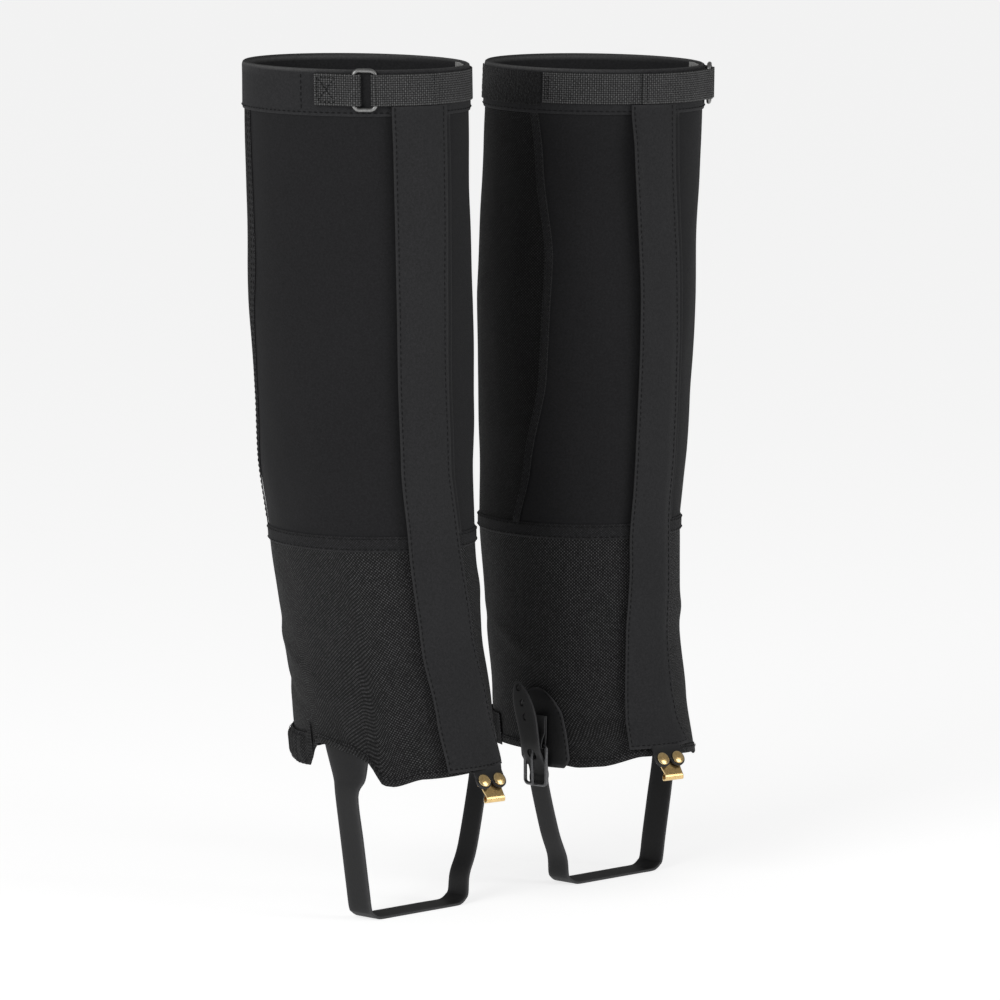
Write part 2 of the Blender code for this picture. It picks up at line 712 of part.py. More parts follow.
def strap_route(side):
    """Middle line of the under-foot strap as (x from the leg's axis towards the outer side,
    height), from its pointed end down the inner side, under the arch and up to the fan."""
    way = SIDES[side]
    centre = leg_centre(side, HEM_DEPTH)[0]
    bar = buckle_origin(side)
    inner = (bar.x - centre) * way
    route = [(inner - out, bar.z + up) for up, out in STRAP_END_LINE]
    route += STRAP_INNER_LINE
    route += arc_points((-ARCH_TURN, STRAP_MIDDLE_HEIGHT + ARCH_RADIUS), ARCH_RADIUS, 205, 270, 3)
    route += [(x, STRAP_MIDDLE_HEIGHT) for x in ARCH_SPOTS]
    route += arc_points((ARCH_TURN, STRAP_MIDDLE_HEIGHT + ARCH_RADIUS), ARCH_RADIUS, 270, 335, 3)
    fan = skin(side, way * SIDE_ANGLE, FAN_BOTTOM, FAN_LAYER)
    outer = (fan.x - centre) * way
    lap = outer - RUBBER - STRAP_LAP_GAP
    spot_x, spot_z = STRAP_OUTER_SPOT
    route += [STRAP_OUTER_SPOT, (lerp(spot_x, lap, 0.5), lerp(spot_z, fan.z, 0.5)),
              (lap, fan.z - 0.004), (lap, fan.z + ANCHOR_LAP)]
    return [Vector((centre + way * x, strap_plane(side), z)) for x, z in route]


def make_foot_strap(side):
    route = strap_route(side)
    rows = len(route) - 1

    def width(row):
        if row < len(STRAP_TIP_WIDTHS):
            return STRAP_TIP_WIDTHS[row]
        if row < STRAP_BUCKLE_ROWS:
            return FOOT_STRAP_END_WIDTH
        return FOOT_STRAP_WIDTH

    def place(across, down):
        row = round(down * rows)
        return route[row] + Vector((0.0, (across - 0.5) * width(row), 0.0))

    strap = sheet(f"{side}_underfoot_strap", 2, rows, place, RUBBER, "rubber")
    for index, row in enumerate((1, 2, 3)):
        centre = route[row].lerp(route[row + 1], 0.4)
        tool = drill(f"{side}_strap_hole_{index}", centre, Vector((1.0, 0.0, 0.0)),
                     STRAP_HOLE, 0.006, 8)
        cut(strap, tool)
    for index, (up, radius) in enumerate(PRONG_HOLES):
        crossing = buckle_place(side, 0.0030, 0.0, up)
        cut(strap, drill(f"{side}_strap_hole_prong_{index}", crossing, Vector((1.0, 0.0, 0.0)),
                         radius, 0.012, 8))


def make_side_pieces(side):
    """The rounded inner patch, and the fan that carries the strap's outer end."""
    way = SIDES[side]

    def patch_place(across, down):
        depth = lerp(*PATCH_DEPTHS, down)
        reach = PATCH_REACH * (1.0 - (1.0 - down) ** 2.4) ** 0.5
        angle = -way * SIDE_ANGLE + (across - 0.5) * 2.0 * max(reach, PATCH_TIP)
        return skin(side, angle, depth, PATCH_LAYER)

    sheet(f"{side}_side_patch", 5, 5, patch_place, TAPE, "rubber")

    def fan_place(across, down):
        depth = lerp(FAN_TOP, FAN_BOTTOM, down)
        half = lerp(FAN_TOP_HALF, FOOT_STRAP_WIDTH / 2, down ** 0.8)
        spot = skin(side, way * SIDE_ANGLE, depth, FAN_LAYER)
        wide = table(HALF_WIDTH, 0.44)
        reach = math.degrees((across - 0.5) * 2.0 * half / wide)
        curved = skin(side, way * SIDE_ANGLE + reach, depth, FAN_LAYER)
        flat_spot = Vector((spot.x, strap_plane(side) + way * (across - 0.5) * 2.0 * half, spot.z))
        return curved.lerp(flat_spot, down * down)

    sheet(f"{side}_outer_anchor", 4, 5, fan_place, RUBBER, "rubber")


# ---------------------------------------------------------------- build

def make_gaiter(side):
    make_panels(side)
    make_band(side)
    make_flap(side)
    make_heel(side)
    make_top_strap(side)
    make_hook(side)
    make_side_pieces(side)
    make_buckle(side)
    make_foot_strap(side)


clear_scene()
parts = collection("gaiters")
cutters = collection("cutters")
for gaiter in SIDES:
    make_gaiter(gaiter)
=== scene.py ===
"""Looks of a pair of knee-high hiking gaiters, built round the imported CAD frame.

Metres, +Z up, toes towards -Y, the right gaiter at -X. Angles run round each leg from the toe
direction, positive towards +X, and depths run down from the rim, as in the CAD part.
"""
import contextlib
import json
import math

import bmesh
import bpy
import numpy as np
from mathutils import Matrix, Vector, noise


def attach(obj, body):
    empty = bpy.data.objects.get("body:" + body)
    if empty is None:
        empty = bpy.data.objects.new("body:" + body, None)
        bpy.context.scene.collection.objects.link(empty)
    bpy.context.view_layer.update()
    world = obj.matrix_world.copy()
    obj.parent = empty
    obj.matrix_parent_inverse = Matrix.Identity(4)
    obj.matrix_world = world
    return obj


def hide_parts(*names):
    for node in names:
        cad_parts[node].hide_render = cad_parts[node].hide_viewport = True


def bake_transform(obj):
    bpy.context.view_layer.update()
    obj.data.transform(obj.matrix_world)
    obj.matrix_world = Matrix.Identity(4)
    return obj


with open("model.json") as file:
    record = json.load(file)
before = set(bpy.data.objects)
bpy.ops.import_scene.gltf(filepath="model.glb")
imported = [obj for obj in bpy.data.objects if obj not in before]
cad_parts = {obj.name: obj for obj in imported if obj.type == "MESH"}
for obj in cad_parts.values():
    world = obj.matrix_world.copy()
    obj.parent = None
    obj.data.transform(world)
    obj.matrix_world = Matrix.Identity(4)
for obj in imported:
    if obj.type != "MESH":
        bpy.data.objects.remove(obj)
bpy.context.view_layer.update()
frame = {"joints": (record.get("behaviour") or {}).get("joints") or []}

WAYS = {"right": -1, "left": 1}

# ---------------------------------------------------------------- the worn shape

RIM_HEIGHT = {"right": 0.540, "left": 0.531}
RIM_SPREAD = 0.1078
RIM_TILT = 0.0015
SEAM_DEPTH = 0.298
HEM_DEPTH = 0.440
BAND_HEIGHT = 0.028
HALF_WIDTH = [(0.0, 0.0697), (0.05, 0.0703), (0.15, 0.0703), (0.22, 0.068), (0.30, 0.0645),
              (0.37, 0.0620),
              (0.41, 0.0625), (0.45, 0.0640)]
FLATTENING = [(0.0, 0.0), (0.20, 0.02), (0.37, 0.08), (0.45, 0.09)]
INWARD_LEAN = [(0.0, 0.0), (0.15, 0.0054), (0.25, 0.009), (0.30, 0.0135), (0.386, 0.018),
               (0.50, 0.0185)]
FORWARD_LEAN = [(0.0, 0.0), (0.15, -0.002), (0.25, -0.0015), (0.30, 0.0), (0.36, 0.0055),
                (0.41, 0.013), (0.45, 0.019), (0.50, 0.021)]
FLAP_SEWN = {"right": [(0.0, 6.0), (0.035, 4.8), (0.145, 3.0), (0.254, 3.8), (0.288, 5.6),
                       (0.354, 11.0), (0.40, 19.0), (0.4435, 31.0)],
             "left": [(0.0, -1.5), (0.03, -0.8), (0.15, 6.8), (0.226, 10.8), (0.30, 12.4),
                      (0.358, 9.4), (0.401, 6.0), (0.42, 9.0), (0.4368, 16.5)]}
FLAP_FREE = {"right": [(0.0, -26.8), (0.143, -27.1), (0.23, -27.8), (0.334, -27.9), (0.369, -27.5),
                       (0.408, -24.5), (0.4416, -21.8)],
             "left": [(0.0, -26.8), (0.028, -26.8), (0.148, -19.7), (0.202, -18.7), (0.272, -19.8),
                      (0.316, -21.8), (0.365, -25.4), (0.409, -30.2), (0.438, -30.7)]}
CALF_INNER = [(0.0, 82.0), (0.06, 74.0), (0.12, 67.0), (0.20, 70.0), (0.26, 80.0),
              (0.298, 88.0)]
CALF_OUTER = [(0.0, 117.0), (0.12, 113.0), (0.22, 122.0), (0.298, 137.0)]
FLAP_BOTTOM = {"right": 0.4420, "left": 0.4378}
FLAP_TOP = 0.0214
FOLD_PAST_SEAM = 1.6    # degrees from the seam to the fold at the flap's sewn edge
CLOSURE_TAPE = (2.0, 13.5)    # degrees from the flap's free edge
STRAP_TOP, STRAP_BOTTOM = 0.0012, 0.0212

# depth of the hem by the angle from the toes, positive towards each gaiter's outer side
HEM_LINE = [(-180, 0.440), (-120, 0.4405), (-90, 0.441), (-75, 0.448), (-61, 0.450), (-47, 0.4488),
            (-23, 0.4428), (0, 0.443), (36, 0.4455), (52, 0.4505), (58, 0.450), (66, 0.436),
            (76, 0.431), (90, 0.4278), (97, 0.4265), (102, 0.432), (107, 0.441), (124, 0.442),
            (180, 0.440)]

# heights above the cloth's inner face
PANEL_LAYER = 0.0004
SEAM_LAYER = 0.0016
BAND_LAYER = 0.0018
STRAP_LAYER = 0.0030
FLAP_LAYER = 0.0040

# soft creases: (angle, depth, half length round the leg in degrees, half height, slope, lift)
CREASES = {
    "right": [(-118, 0.375, 26, 0.006, 0.0006, 0.0012), (-128, 0.398, 22, 0.005, 0.0004, -0.0013),
              (-96, 0.352, 24, 0.007, -0.0005, 0.0009), (-60, 0.405, 22, 0.006, 0.0003, 0.0008),
              (-40, 0.150, 14, 0.045, 0.0, -0.0009), (-74, 0.210, 12, 0.060, 0.0, 0.0009),
              (40, 0.330, 20, 0.008, 0.0006, 0.0010), (150, 0.380, 30, 0.006, 0.0003, 0.0012),
              (190, 0.360, 34, 0.006, -0.0002, -0.0010)],
    "left": [(-52, 0.418, 30, 0.0045, 0.0001, -0.0016), (-52, 0.408, 30, 0.005, 0.0001, 0.0010),
             (-96, 0.372, 24, 0.007, 0.0005, 0.0012), (-70, 0.130, 12, 0.050, 0.0, -0.0008),
             (38, 0.352, 26, 0.007, 0.0004, 0.0011), (60, 0.300, 18, 0.010, 0.0004, -0.0008),
             (150, 0.385, 30, 0.006, 0.0003, 0.0011), (205, 0.365, 34, 0.006, -0.0002, -0.0010)],
}


def table(points, value):
    """A smooth curve through (place, value) points, level beyond its ends."""
    if value <= points[0][0]:
        return points[0][1]
    for low, high in zip(points, points[1:]):
        if value <= high[0]:
            share = (value - low[0]) / (high[0] - low[0])
            soft = share * share * (3.0 - 2.0 * share)
            return low[1] + (high[1] - low[1]) * (0.5 * share + 0.5 * soft)
    return points[-1][1]


def lerp(low, high, share):
    return low + (high - low) * share


def ramp(value, low, high):
    """Smooth step from 0 at low to 1 at high."""
    share = min(1.0, max(0.0, (value - low) / (high - low)))
    return share * share * (3.0 - 2.0 * share)


def turn_apart(angle, other):
    return ((angle - other + 180.0) % 360.0) - 180.0


def drape(side, angle, depth):
    """How far the worn cloth stands off its even shape, the same for every layer on it."""
    turn = math.radians(angle)
    seed = 3.1 * WAYS[side]
    wave = noise.noise(Vector((1.4 * math.sin(turn) + seed, 1.4 * math.cos(turn), 7.0 * depth)))
    small = noise.noise(Vector((4.0 * math.sin(turn), 4.0 * math.cos(turn) + seed, 26.0 * depth)))
    lift = 0.0018 * wave + 0.0005 * small
    for middle, level, reach, height, slope, rise in CREASES[side]:
        away = turn_apart(angle, middle)
        if abs(away) < 2.6 * reach:
            level += slope * away
            lift += rise * math.exp(-(away / reach) ** 2 - ((depth - level) / height) ** 2)
    return lift * (0.25 + 0.75 * ramp(depth, 0.015, 0.09)) * (1.0 - 0.6 * ramp(depth, 0.42, 0.44))


def skin(side, angle, depth, layer):
    turn = math.radians(angle)
    half = table(HALF_WIDTH, depth)
    flat = table(FLATTENING, depth)
    layer = layer + drape(side, angle, depth)
    x = WAYS[side] * (RIM_SPREAD - table(INWARD_LEAN, depth))
    tilt = RIM_TILT * math.cos(turn) * max(0.0, 1.0 - depth / 0.1)
    return Vector((x + (half * (1.0 - flat) + layer) * math.sin(turn),
                   -table(FORWARD_LEAN, depth) - (half * (1.0 + flat) + layer) * math.cos(turn),
                   RIM_HEIGHT[side] - depth - tilt))


def hem(side, angle):
    """Depth of the hem, which rises over the outer ankle and dips in front of it."""
    return table(HEM_LINE, turn_apart(WAYS[side] * angle, 0.0))


def sewn(side, depth):
    return table(FLAP_SEWN[side], depth)


def free(side, depth):
    return table(FLAP_FREE[side], depth)


def calf_edges(side, depth):
    """First and last angle of the calf panel, going up in angle through the back."""
    inner, outer = table(CALF_INNER, depth), table(CALF_OUTER, depth)
    return (outer, 360.0 - inner) if side == "left" else (inner, 360.0 - outer)


def smooth_path(points, between):
    """Points on a smooth curve through the given ones, with between steps from one to the next."""
    spots = [np.array(tuple(point), dtype=float) for point in points]
    made = []
    for index in range(len(spots) - 1):
        a, b = spots[max(index - 1, 0)], spots[index]
        c, d = spots[index + 1], spots[min(index + 2, len(spots) - 1)]
        for step in range(between):
            t = step / between
            made.append(0.5 * (2 * b + (c - a) * t + (2 * a - 5 * b + 4 * c - d) * t * t
                               + (3 * b - a - 3 * c + d) * t ** 3))
    return made + [spots[-1]]


# ---------------------------------------------------------------- finishes

def socket(group, name, way, kind="NodeSocketFloat", value=None):
    made = group.interface.new_socket(name=name, in_out=way, socket_type=kind)
    if value is not None:
        made.default_value = value


def new_group(name, inputs, outputs):
    group = bpy.data.node_groups.new(name, "ShaderNodeTree")
    for label, kind, value in inputs:
        socket(group, label, "INPUT", kind, value)
    for label, kind in outputs:
        socket(group, label, "OUTPUT", kind)
    return group, group.nodes.new("NodeGroupInput"), group.nodes.new("NodeGroupOutput")


def maths(tree, kind, first, second=None, clamp=False):
    """A Math node; each term is a number or another node's output."""
    node = tree.nodes.new("ShaderNodeMath")
    node.operation = kind
    node.use_clamp = clamp
    for place, term in enumerate((first, second)):
        if term is None:
            continue
        if isinstance(term, (int, float)):
            node.inputs[place].default_value = term
        else:
            tree.links.new(term, node.inputs[place])
    return node.outputs[0]


def times(tree, first, second, **more):
    return maths(tree, "MULTIPLY", first, second, **more)


def plus(tree, first, second, **more):
    return maths(tree, "ADD", first, second, **more)


def set_values(node, values):
    """Set a node's own inputs by name."""
    for name, value in values.items():
        node.inputs[name].default_value = value


def speckle(tree, place, scale, detail=3.0, rough=0.6):
    node = tree.nodes.new("ShaderNodeTexNoise")
    set_values(node, {"Scale": scale, "Detail": detail, "Roughness": rough})
    tree.links.new(place, node.inputs["Vector"])
    return node.outputs["Fac"]


def weave_group():
    """A plain weave on cloth coordinates in metres: the height of the yarns, which is on top, and
    a chance value for each crossing."""
    group, entry, leave = new_group(
        "plain weave", [("Cloth place", "NodeSocketVector", None), ("Across", "NodeSocketFloat", 0.001),
                        ("Along", "NodeSocketFloat", 0.001),
                        ("Roundness", "NodeSocketFloat", 0.6)],
        [("Height", "NodeSocketFloat"), ("Warp on top", "NodeSocketFloat"),
         ("Fleck", "NodeSocketFloat")])
    split = group.nodes.new("ShaderNodeSeparateXYZ")
    group.links.new(entry.outputs["Cloth place"], split.inputs[0])
    across = maths(group, "DIVIDE", split.outputs["X"], entry.outputs["Across"])
    along = maths(group, "DIVIDE", split.outputs["Y"], entry.outputs["Along"])
    cells = plus(group, maths(group, "FLOOR", across), maths(group, "FLOOR", along))
    warp = maths(group, "FLOORED_MODULO", cells, 2.0)
    weft = maths(group, "SUBTRACT", 1.0, warp)

    def hump(place):
        return maths(group, "ABSOLUTE", maths(group, "SINE", times(group, place, math.pi)))

    hump_across, hump_along = hump(across), hump(along)

    def yarn(over, through):
        crown = plus(group, times(group, through, 0.45), 0.55)
        return times(group, maths(group, "POWER", over, entry.outputs["Roundness"]), crown)

    top = times(group, warp, yarn(hump_across, hump_along))
    side = times(group, weft, yarn(hump_along, hump_across))
    group.links.new(plus(group, top, side), leave.inputs["Height"])
    group.links.new(warp, leave.inputs["Warp on top"])
    cell = group.nodes.new("ShaderNodeCombineXYZ")
    group.links.new(maths(group, "FLOOR", across), cell.inputs["X"])
    group.links.new(maths(group, "FLOOR", along), cell.inputs["Y"])
    chance = group.nodes.new("ShaderNodeTexWhiteNoise")
    group.links.new(cell.outputs[0], chance.inputs["Vector"])
    group.links.new(chance.outputs["Value"], leave.inputs["Fleck"])
    return group


def wear_group():
    """Uneven dye, lint, and an edge colour at the marked edges (wear, and on the band's rim a painted
    highlight): a colour to mix with, and a roughness to add.
    """
    group, entry, leave = new_group(
        "wear", [("Colour", "NodeSocketColor", (0.02, 0.02, 0.02, 1.0)),
                 ("Edge colour", "NodeSocketColor", (0.08, 0.08, 0.08, 1.0)),
                 ("Edge", "NodeSocketFloat", 0.0), ("Uneven", "NodeSocketFloat", 0.2),
                 ("Roughness", "NodeSocketFloat", 0.8)],
        [("Colour", "NodeSocketColor"), ("Roughness", "NodeSocketFloat"), ("Grain", "NodeSocketFloat")])
    place = group.nodes.new("ShaderNodeTexCoord").outputs["Object"]
    broad = speckle(group, place, 14.0, 2.0)
    lint = speckle(group, place, 700.0, 2.0, 0.7)
    shift = times(group, maths(group, "SUBTRACT", broad, 0.5), entry.outputs["Uneven"])
    grain = times(group, maths(group, "SUBTRACT", lint, 0.5), 1.0)
    level = plus(group, plus(group, shift, grain), 1.0)
    scale = group.nodes.new("ShaderNodeVectorMath")
    scale.operation = "SCALE"
    group.links.new(entry.outputs["Colour"], scale.inputs[0])
    group.links.new(level, scale.inputs["Scale"])
    # the edge attribute mixes in the edge colour: wear at cut edges, and the painted highlight on the
    # band's rim
    rub = times(group, entry.outputs["Edge"],
                plus(group, times(group, lint, 0.8), 0.35), clamp=True)
    mix = group.nodes.new("ShaderNodeMix")
    mix.data_type = "RGBA"
    group.links.new(rub, mix.inputs["Factor"])
    group.links.new(scale.outputs[0], mix.inputs[6])
    group.links.new(entry.outputs["Edge colour"], mix.inputs[7])
    group.links.new(mix.outputs[2], leave.inputs["Colour"])
    rough = plus(group, entry.outputs["Roughness"], times(group, shift, 0.25),
                  clamp=True)
    group.links.new(rough, leave.inputs["Roughness"])
    group.links.new(lint, leave.inputs["Grain"])
    return group


WEAVE, WEAR = weave_group(), wear_group()


def start_material(name):
    made = bpy.data.materials.new(name)
    made.use_nodes = True
    tree = made.node_tree
    return made, tree, tree.nodes["Principled BSDF"]


def use_group(tree, group):
    node = tree.nodes.new("ShaderNodeGroup")
    node.node_tree = group
    return node


def add_wear(tree, shader, colour, rubbed, uneven, roughness):
    node = use_group(tree, WEAR)
    set_values(node, {"Colour": (*colour, 1.0), "Edge colour": (*rubbed, 1.0), "Uneven": uneven,
                      "Roughness": roughness})
    # the edge attribute: wear at edges, and on the band's rim a painted highlight
    edge = tree.nodes.new("ShaderNodeAttribute")
    edge.attribute_name = "edge"
    tree.links.new(edge.outputs["Fac"], node.inputs["Edge"])
    tree.links.new(node.outputs["Roughness"], shader.inputs["Roughness"])
    return node


def bump(tree, shader, height, distance):
    node = tree.nodes.new("ShaderNodeBump")
    node.inputs["Distance"].default_value = distance
    node.inputs["Strength"].default_value = 1.0
    tree.links.new(height, node.inputs["Height"])
    tree.links.new(node.outputs["Normal"], shader.inputs["Normal"])


def object_place(tree):
    return tree.nodes.new("ShaderNodeTexCoord").outputs["Object"]


def pebbles(tree, place, scale):
    """Distance from the middle of each of many small round cells."""
    node = tree.nodes.new("ShaderNodeTexVoronoi")
    node.inputs["Scale"].default_value = scale
    tree.links.new(place, node.inputs["Vector"])
    return node.outputs["Distance"]


def shade_by(tree, colour, mask, low, high):
    """The colour times a factor from low to high as the mask goes from 0 to 1."""
    factor = plus(tree, times(tree, mask, high - low), low)
    node = tree.nodes.new("ShaderNodeVectorMath")
    node.operation = "SCALE"
    tree.links.new(colour, node.inputs[0])
    tree.links.new(factor, node.inputs["Scale"])
    return node.outputs[0]


CLOTH_UNEVEN = 0.25


def cloth_finish(name, colour, across, along, depth, contrast, rubbed=(0.030, 0.030, 0.031),
                 roughness=0.85, sheen=0.015, two_tone=0.1, fleck=0.1, roundness=0.6):
    """Woven cloth: yarns of the given pitch, their height, and how much their gaps, their
    direction and chance change its colour."""
    made, tree, shader = start_material(name)
    wear = add_wear(tree, shader, colour, rubbed, CLOTH_UNEVEN, roughness)
    weave = use_group(tree, WEAVE)
    place = tree.nodes.new("ShaderNodeUVMap")
    place.uv_map = "cloth"
    tree.links.new(place.outputs["UV"], weave.inputs["Cloth place"])
    set_values(weave, {"Across": across, "Along": along, "Roundness": roundness})
    shaded = shade_by(tree, wear.outputs["Colour"], weave.outputs["Height"], *contrast)
    shaded = shade_by(tree, shaded, weave.outputs["Warp on top"], 1.0 - two_tone, 1.0 + two_tone)
    shaded = shade_by(tree, shaded, weave.outputs["Fleck"], 1.0 - fleck, 1.0 + fleck)
    tree.links.new(shaded, shader.inputs["Base Color"])
    height = plus(tree, weave.outputs["Height"],
                   times(tree, wear.outputs["Grain"], 0.3))
    bump(tree, shader, height, depth)
    set_values(shader, {"Specular IOR Level": 0.16, "Sheen Weight": sheen, "Sheen Roughness": 0.5})
    return made


def fuzzy_finish(name, colour):
    """Brushed loop tape: tangled fibres in small tufts."""
    made, tree, shader = start_material(name)
    wear = add_wear(tree, shader, colour, (0.03, 0.03, 0.03), 0.5, 0.95)
    place = object_place(tree)
    fibres = speckle(tree, place, 850.0, 4.0, 0.8)
    height = maths(tree, "SUBTRACT", times(tree, fibres, 1.4), pebbles(tree, place, 520.0))
    tree.links.new(shade_by(tree, wear.outputs["Colour"], fibres, -1.6, 3.8),
                   shader.inputs["Base Color"])
    bump(tree, shader, height, 0.0006)
    set_values(shader, {"Specular IOR Level": 0.1, "Sheen Weight": 0.08})
    return made


def moulded_finish(name, colour, roughness, grain, rubbed):
    """Moulded rubber with a fine leather-like grain."""
    made, tree, shader = start_material(name)
    wear = add_wear(tree, shader, colour, rubbed, 0.3, roughness)
    place = object_place(tree)
    tree.links.new(wear.outputs["Colour"], shader.inputs["Base Color"])
    height = plus(tree, pebbles(tree, place, 1400.0),
                   times(tree, speckle(tree, place, 260.0), 0.8))
    bump(tree, shader, height, grain)
    shader.inputs["Specular IOR Level"].default_value = 0.28
    return made


def metal_finish(name, colour, roughness, worn, uneven=0.3):
    """Plated metal with fine brushing and small scuffs."""
    made, tree, shader = start_material(name)
    wear = add_wear(tree, shader, colour, worn, uneven, roughness)
    place = object_place(tree)
    stretch = tree.nodes.new("ShaderNodeMapping")
    stretch.inputs["Scale"].default_value = (1.0, 1.0, 0.08)
    tree.links.new(place, stretch.inputs["Vector"])
    strokes = speckle(tree, stretch.outputs["Vector"], 2600.0, 3.0)
    scuffs = speckle(tree, place, 420.0, 4.0, 0.75)
    shaded = shade_by(tree, wear.outputs["Colour"], scuffs, 0.75, 1.25)
    tree.links.new(shaded, shader.inputs["Base Color"])
    shader.inputs["Metallic"].default_value = 1.0
    bump(tree, shader, plus(tree, strokes, scuffs), 0.00004)
    return made


FINISH = {
    "softshell": cloth_finish("smooth softshell", (0.0117, 0.0117, 0.0126), 0.00055, 0.00045, 0.00005,
                              (0.75, 1.15)),
    "flap_cloth": cloth_finish("flap softshell", (0.0200, 0.0200, 0.0212), 0.00055, 0.00045, 0.00005,
                               (0.75, 1.15)),
    "oxford": cloth_finish("coarse oxford", (0.0215, 0.0215, 0.0220), 0.00108, 0.00098, 0.00035,
                           (0.10, 1.55), roughness=0.75, sheen=0.01, two_tone=0.70, fleck=0.35,
                           roundness=0.9),
    # the rear calf panel: the oxford painted about half as bright, as painted shade where the calf
    # turns away from the light
    "calf_painted_shade": cloth_finish("calf oxford in painted shade", (0.0100, 0.0100, 0.0103), 0.00108, 0.00098, 0.00035,
                               (0.10, 1.55), roughness=0.8, sheen=0.0, two_tone=0.70, fleck=0.35,
                               roundness=0.9),
    # the band's pale edge colour is a painted highlight along the rim's fold, and slight wear at its
    # cut edges
    "band_cloth": cloth_finish("band cloth", (0.0195, 0.0195, 0.0207), 0.00060, 0.00050, 0.00006,
                               (0.75, 1.15), rubbed=(0.11, 0.11, 0.11)),
    "webbing": cloth_finish("ribbed webbing", (0.0560, 0.0560, 0.0568), 0.00150, 0.00140, 0.00050,
                            (0.02, 1.75), rubbed=(0.070, 0.070, 0.070), roughness=0.7, two_tone=0.12,
                            fleck=0.15, roundness=1.8),
    "thread_tape": cloth_finish("seam tape", (0.0165, 0.0165, 0.0175), 0.0009, 0.0008, 0.0002,
                                (0.4, 1.3), two_tone=0.3, fleck=0.25),
    "elastic": cloth_finish("gathered elastic", (0.0180, 0.0180, 0.0185), 0.00108, 0.00098, 0.0003,
                            (0.10, 1.55), two_tone=0.6, fleck=0.35),
    # the facing's grey made pale: a painted highlight for the band's inner side caught in bright light
    "facing": cloth_finish("pale facing", (0.30, 0.30, 0.295), 0.0008, 0.0007, 0.0002, (0.75, 1.1),
                           rubbed=(0.45, 0.45, 0.44)),
    "thread": cloth_finish("black thread", (0.0050, 0.0050, 0.0054), 0.0003, 0.0003, 0.00005,
                           (0.7, 1.2), roughness=0.7, sheen=0.0),
    "hook_and_loop": fuzzy_finish("brushed loop tape", (0.0115, 0.0115, 0.0120)),
    "rubber": moulded_finish("moulded rubber", (0.0085, 0.0085, 0.0090), 0.58, 0.00004,
                             (0.05, 0.05, 0.052)),
    "ring_metal": metal_finish("satin grey metal", (0.25, 0.25, 0.247), 0.42, (0.36, 0.355, 0.35)),
    "buckle_metal": metal_finish("black metal", (0.12, 0.12, 0.124), 0.36, (0.40, 0.40, 0.41)),
    "brass": metal_finish("polished brass", (0.76, 0.52, 0.22), 0.20, (0.95, 0.78, 0.45), 0.15),
}


# ---------------------------------------------------------------- makers

def deselect():
    bpy.ops.object.select_all(action="DESELECT")


def pick(item):
    """Select one object and nothing else."""
    deselect()
    item.select_set(True)
    bpy.context.view_layer.objects.active = item


@contextlib.contextmanager
def mesh_of(item):
    """An item's mesh, open to changes by bmesh and written back afterwards."""
    form = bmesh.new()
    form.from_mesh(item.data)
    yield form
    form.to_mesh(item.data)
    form.free()


def finish_piece(item, body, look, stands_for=(), blended=None):
    """Dress a piece, hide the CAD nodes it stands for, and let it ride on its body; a piece given a
    bend line only has its transform baked.
    """
    item.data.materials.clear()
    item.data.materials.append(FINISH[look])
    pick(item)
    bpy.ops.object.shade_smooth_by_angle(angle=math.radians(40.0))
    if blended:
        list(blended[:2])
        tuple(blended[2])
        tuple(blended[3])
        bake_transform(item)
    else:
        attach(item, body)
    if stands_for:
        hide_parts(*stands_for)
    return item


def apply_modifiers(item):
    pick(item)
    for modifier in list(item.modifiers):
        bpy.ops.object.modifier_apply(modifier=modifier.name)


def bevel_all(item, width, segments, angle=40.0):
    """Bevel the sharp edges, and apply every modifier on the item."""
    soft = item.modifiers.new("soft edge", "BEVEL")
    soft.width = width
    soft.segments = segments
    soft.limit_method = "ANGLE"
    soft.angle_limit = math.radians(angle)
    apply_modifiers(item)


def cloth(name, columns, rows, place, thickness, rub=0.0016, closed=False):
    """A sheet of cloth through place(across, down), both 0 to 1, thickened about its middle.
    Its cloth coordinates are in metres, and its edge attribute is 1 at the cut edges."""
    spots = [[place(i / columns, j / rows) for i in range(columns + 1)] for j in range(rows + 1)]
    middle_row = spots[rows // 2]
    wide = [0.0]
    for left, right in zip(middle_row, middle_row[1:]):
        wide.append(wide[-1] + (right - left).length)
    middle = columns // 2
    down = [0.0]
    for j in range(rows):
        down.append(down[-1] + (spots[j + 1][middle] - spots[j][middle]).length)
    mesh = bpy.data.meshes.new(name)
    form = bmesh.new()
    uv = form.loops.layers.uv.new("cloth")
    edge = form.verts.layers.float.new("edge")
    around = columns if closed else columns + 1
    grid = []
    for j in range(rows + 1):
        line = []
        for i in range(around):
            vert = form.verts.new(spots[j][i])
            gap = min(down[j], down[-1] - down[j])
            if not closed:
                gap = min(gap, wide[i], wide[-1] - wide[i])
            vert[edge] = math.exp(-gap / rub) if rub else 0.0
            line.append(vert)
        grid.append(line)
    for j in range(rows):
        for i in range(columns):
            corners = ((j, i), (j + 1, i), (j + 1, i + 1), (j, i + 1))
            face = form.faces.new([grid[a][b % around] for a, b in corners])
            for loop, (a, b) in zip(face.loops, corners):
                loop[uv].uv = (wide[b], -down[a])
    form.to_mesh(mesh)
    form.free()
    item = bpy.data.objects.new(name, mesh)
    bpy.context.scene.collection.objects.link(item)
    solid = item.modifiers.new("thickness", "SOLIDIFY")
    solid.thickness = thickness
    solid.offset = 0.0
    solid.use_even_offset = True
    bevel_all(item, thickness * 0.42, 2, 60.0)
    sample = spots[:: max(1, rows // 4)]
    item["wide"] = sum((b - a).length for row in sample for a, b in zip(row, row[1:])) / len(sample)
    item["long"] = down[-1]
    return item


def spans(low, high, radius=0.07, step=0.0035):
    """Enough columns for an arc in degrees."""
    return max(2, round(abs(math.radians(high - low)) * radius / step))


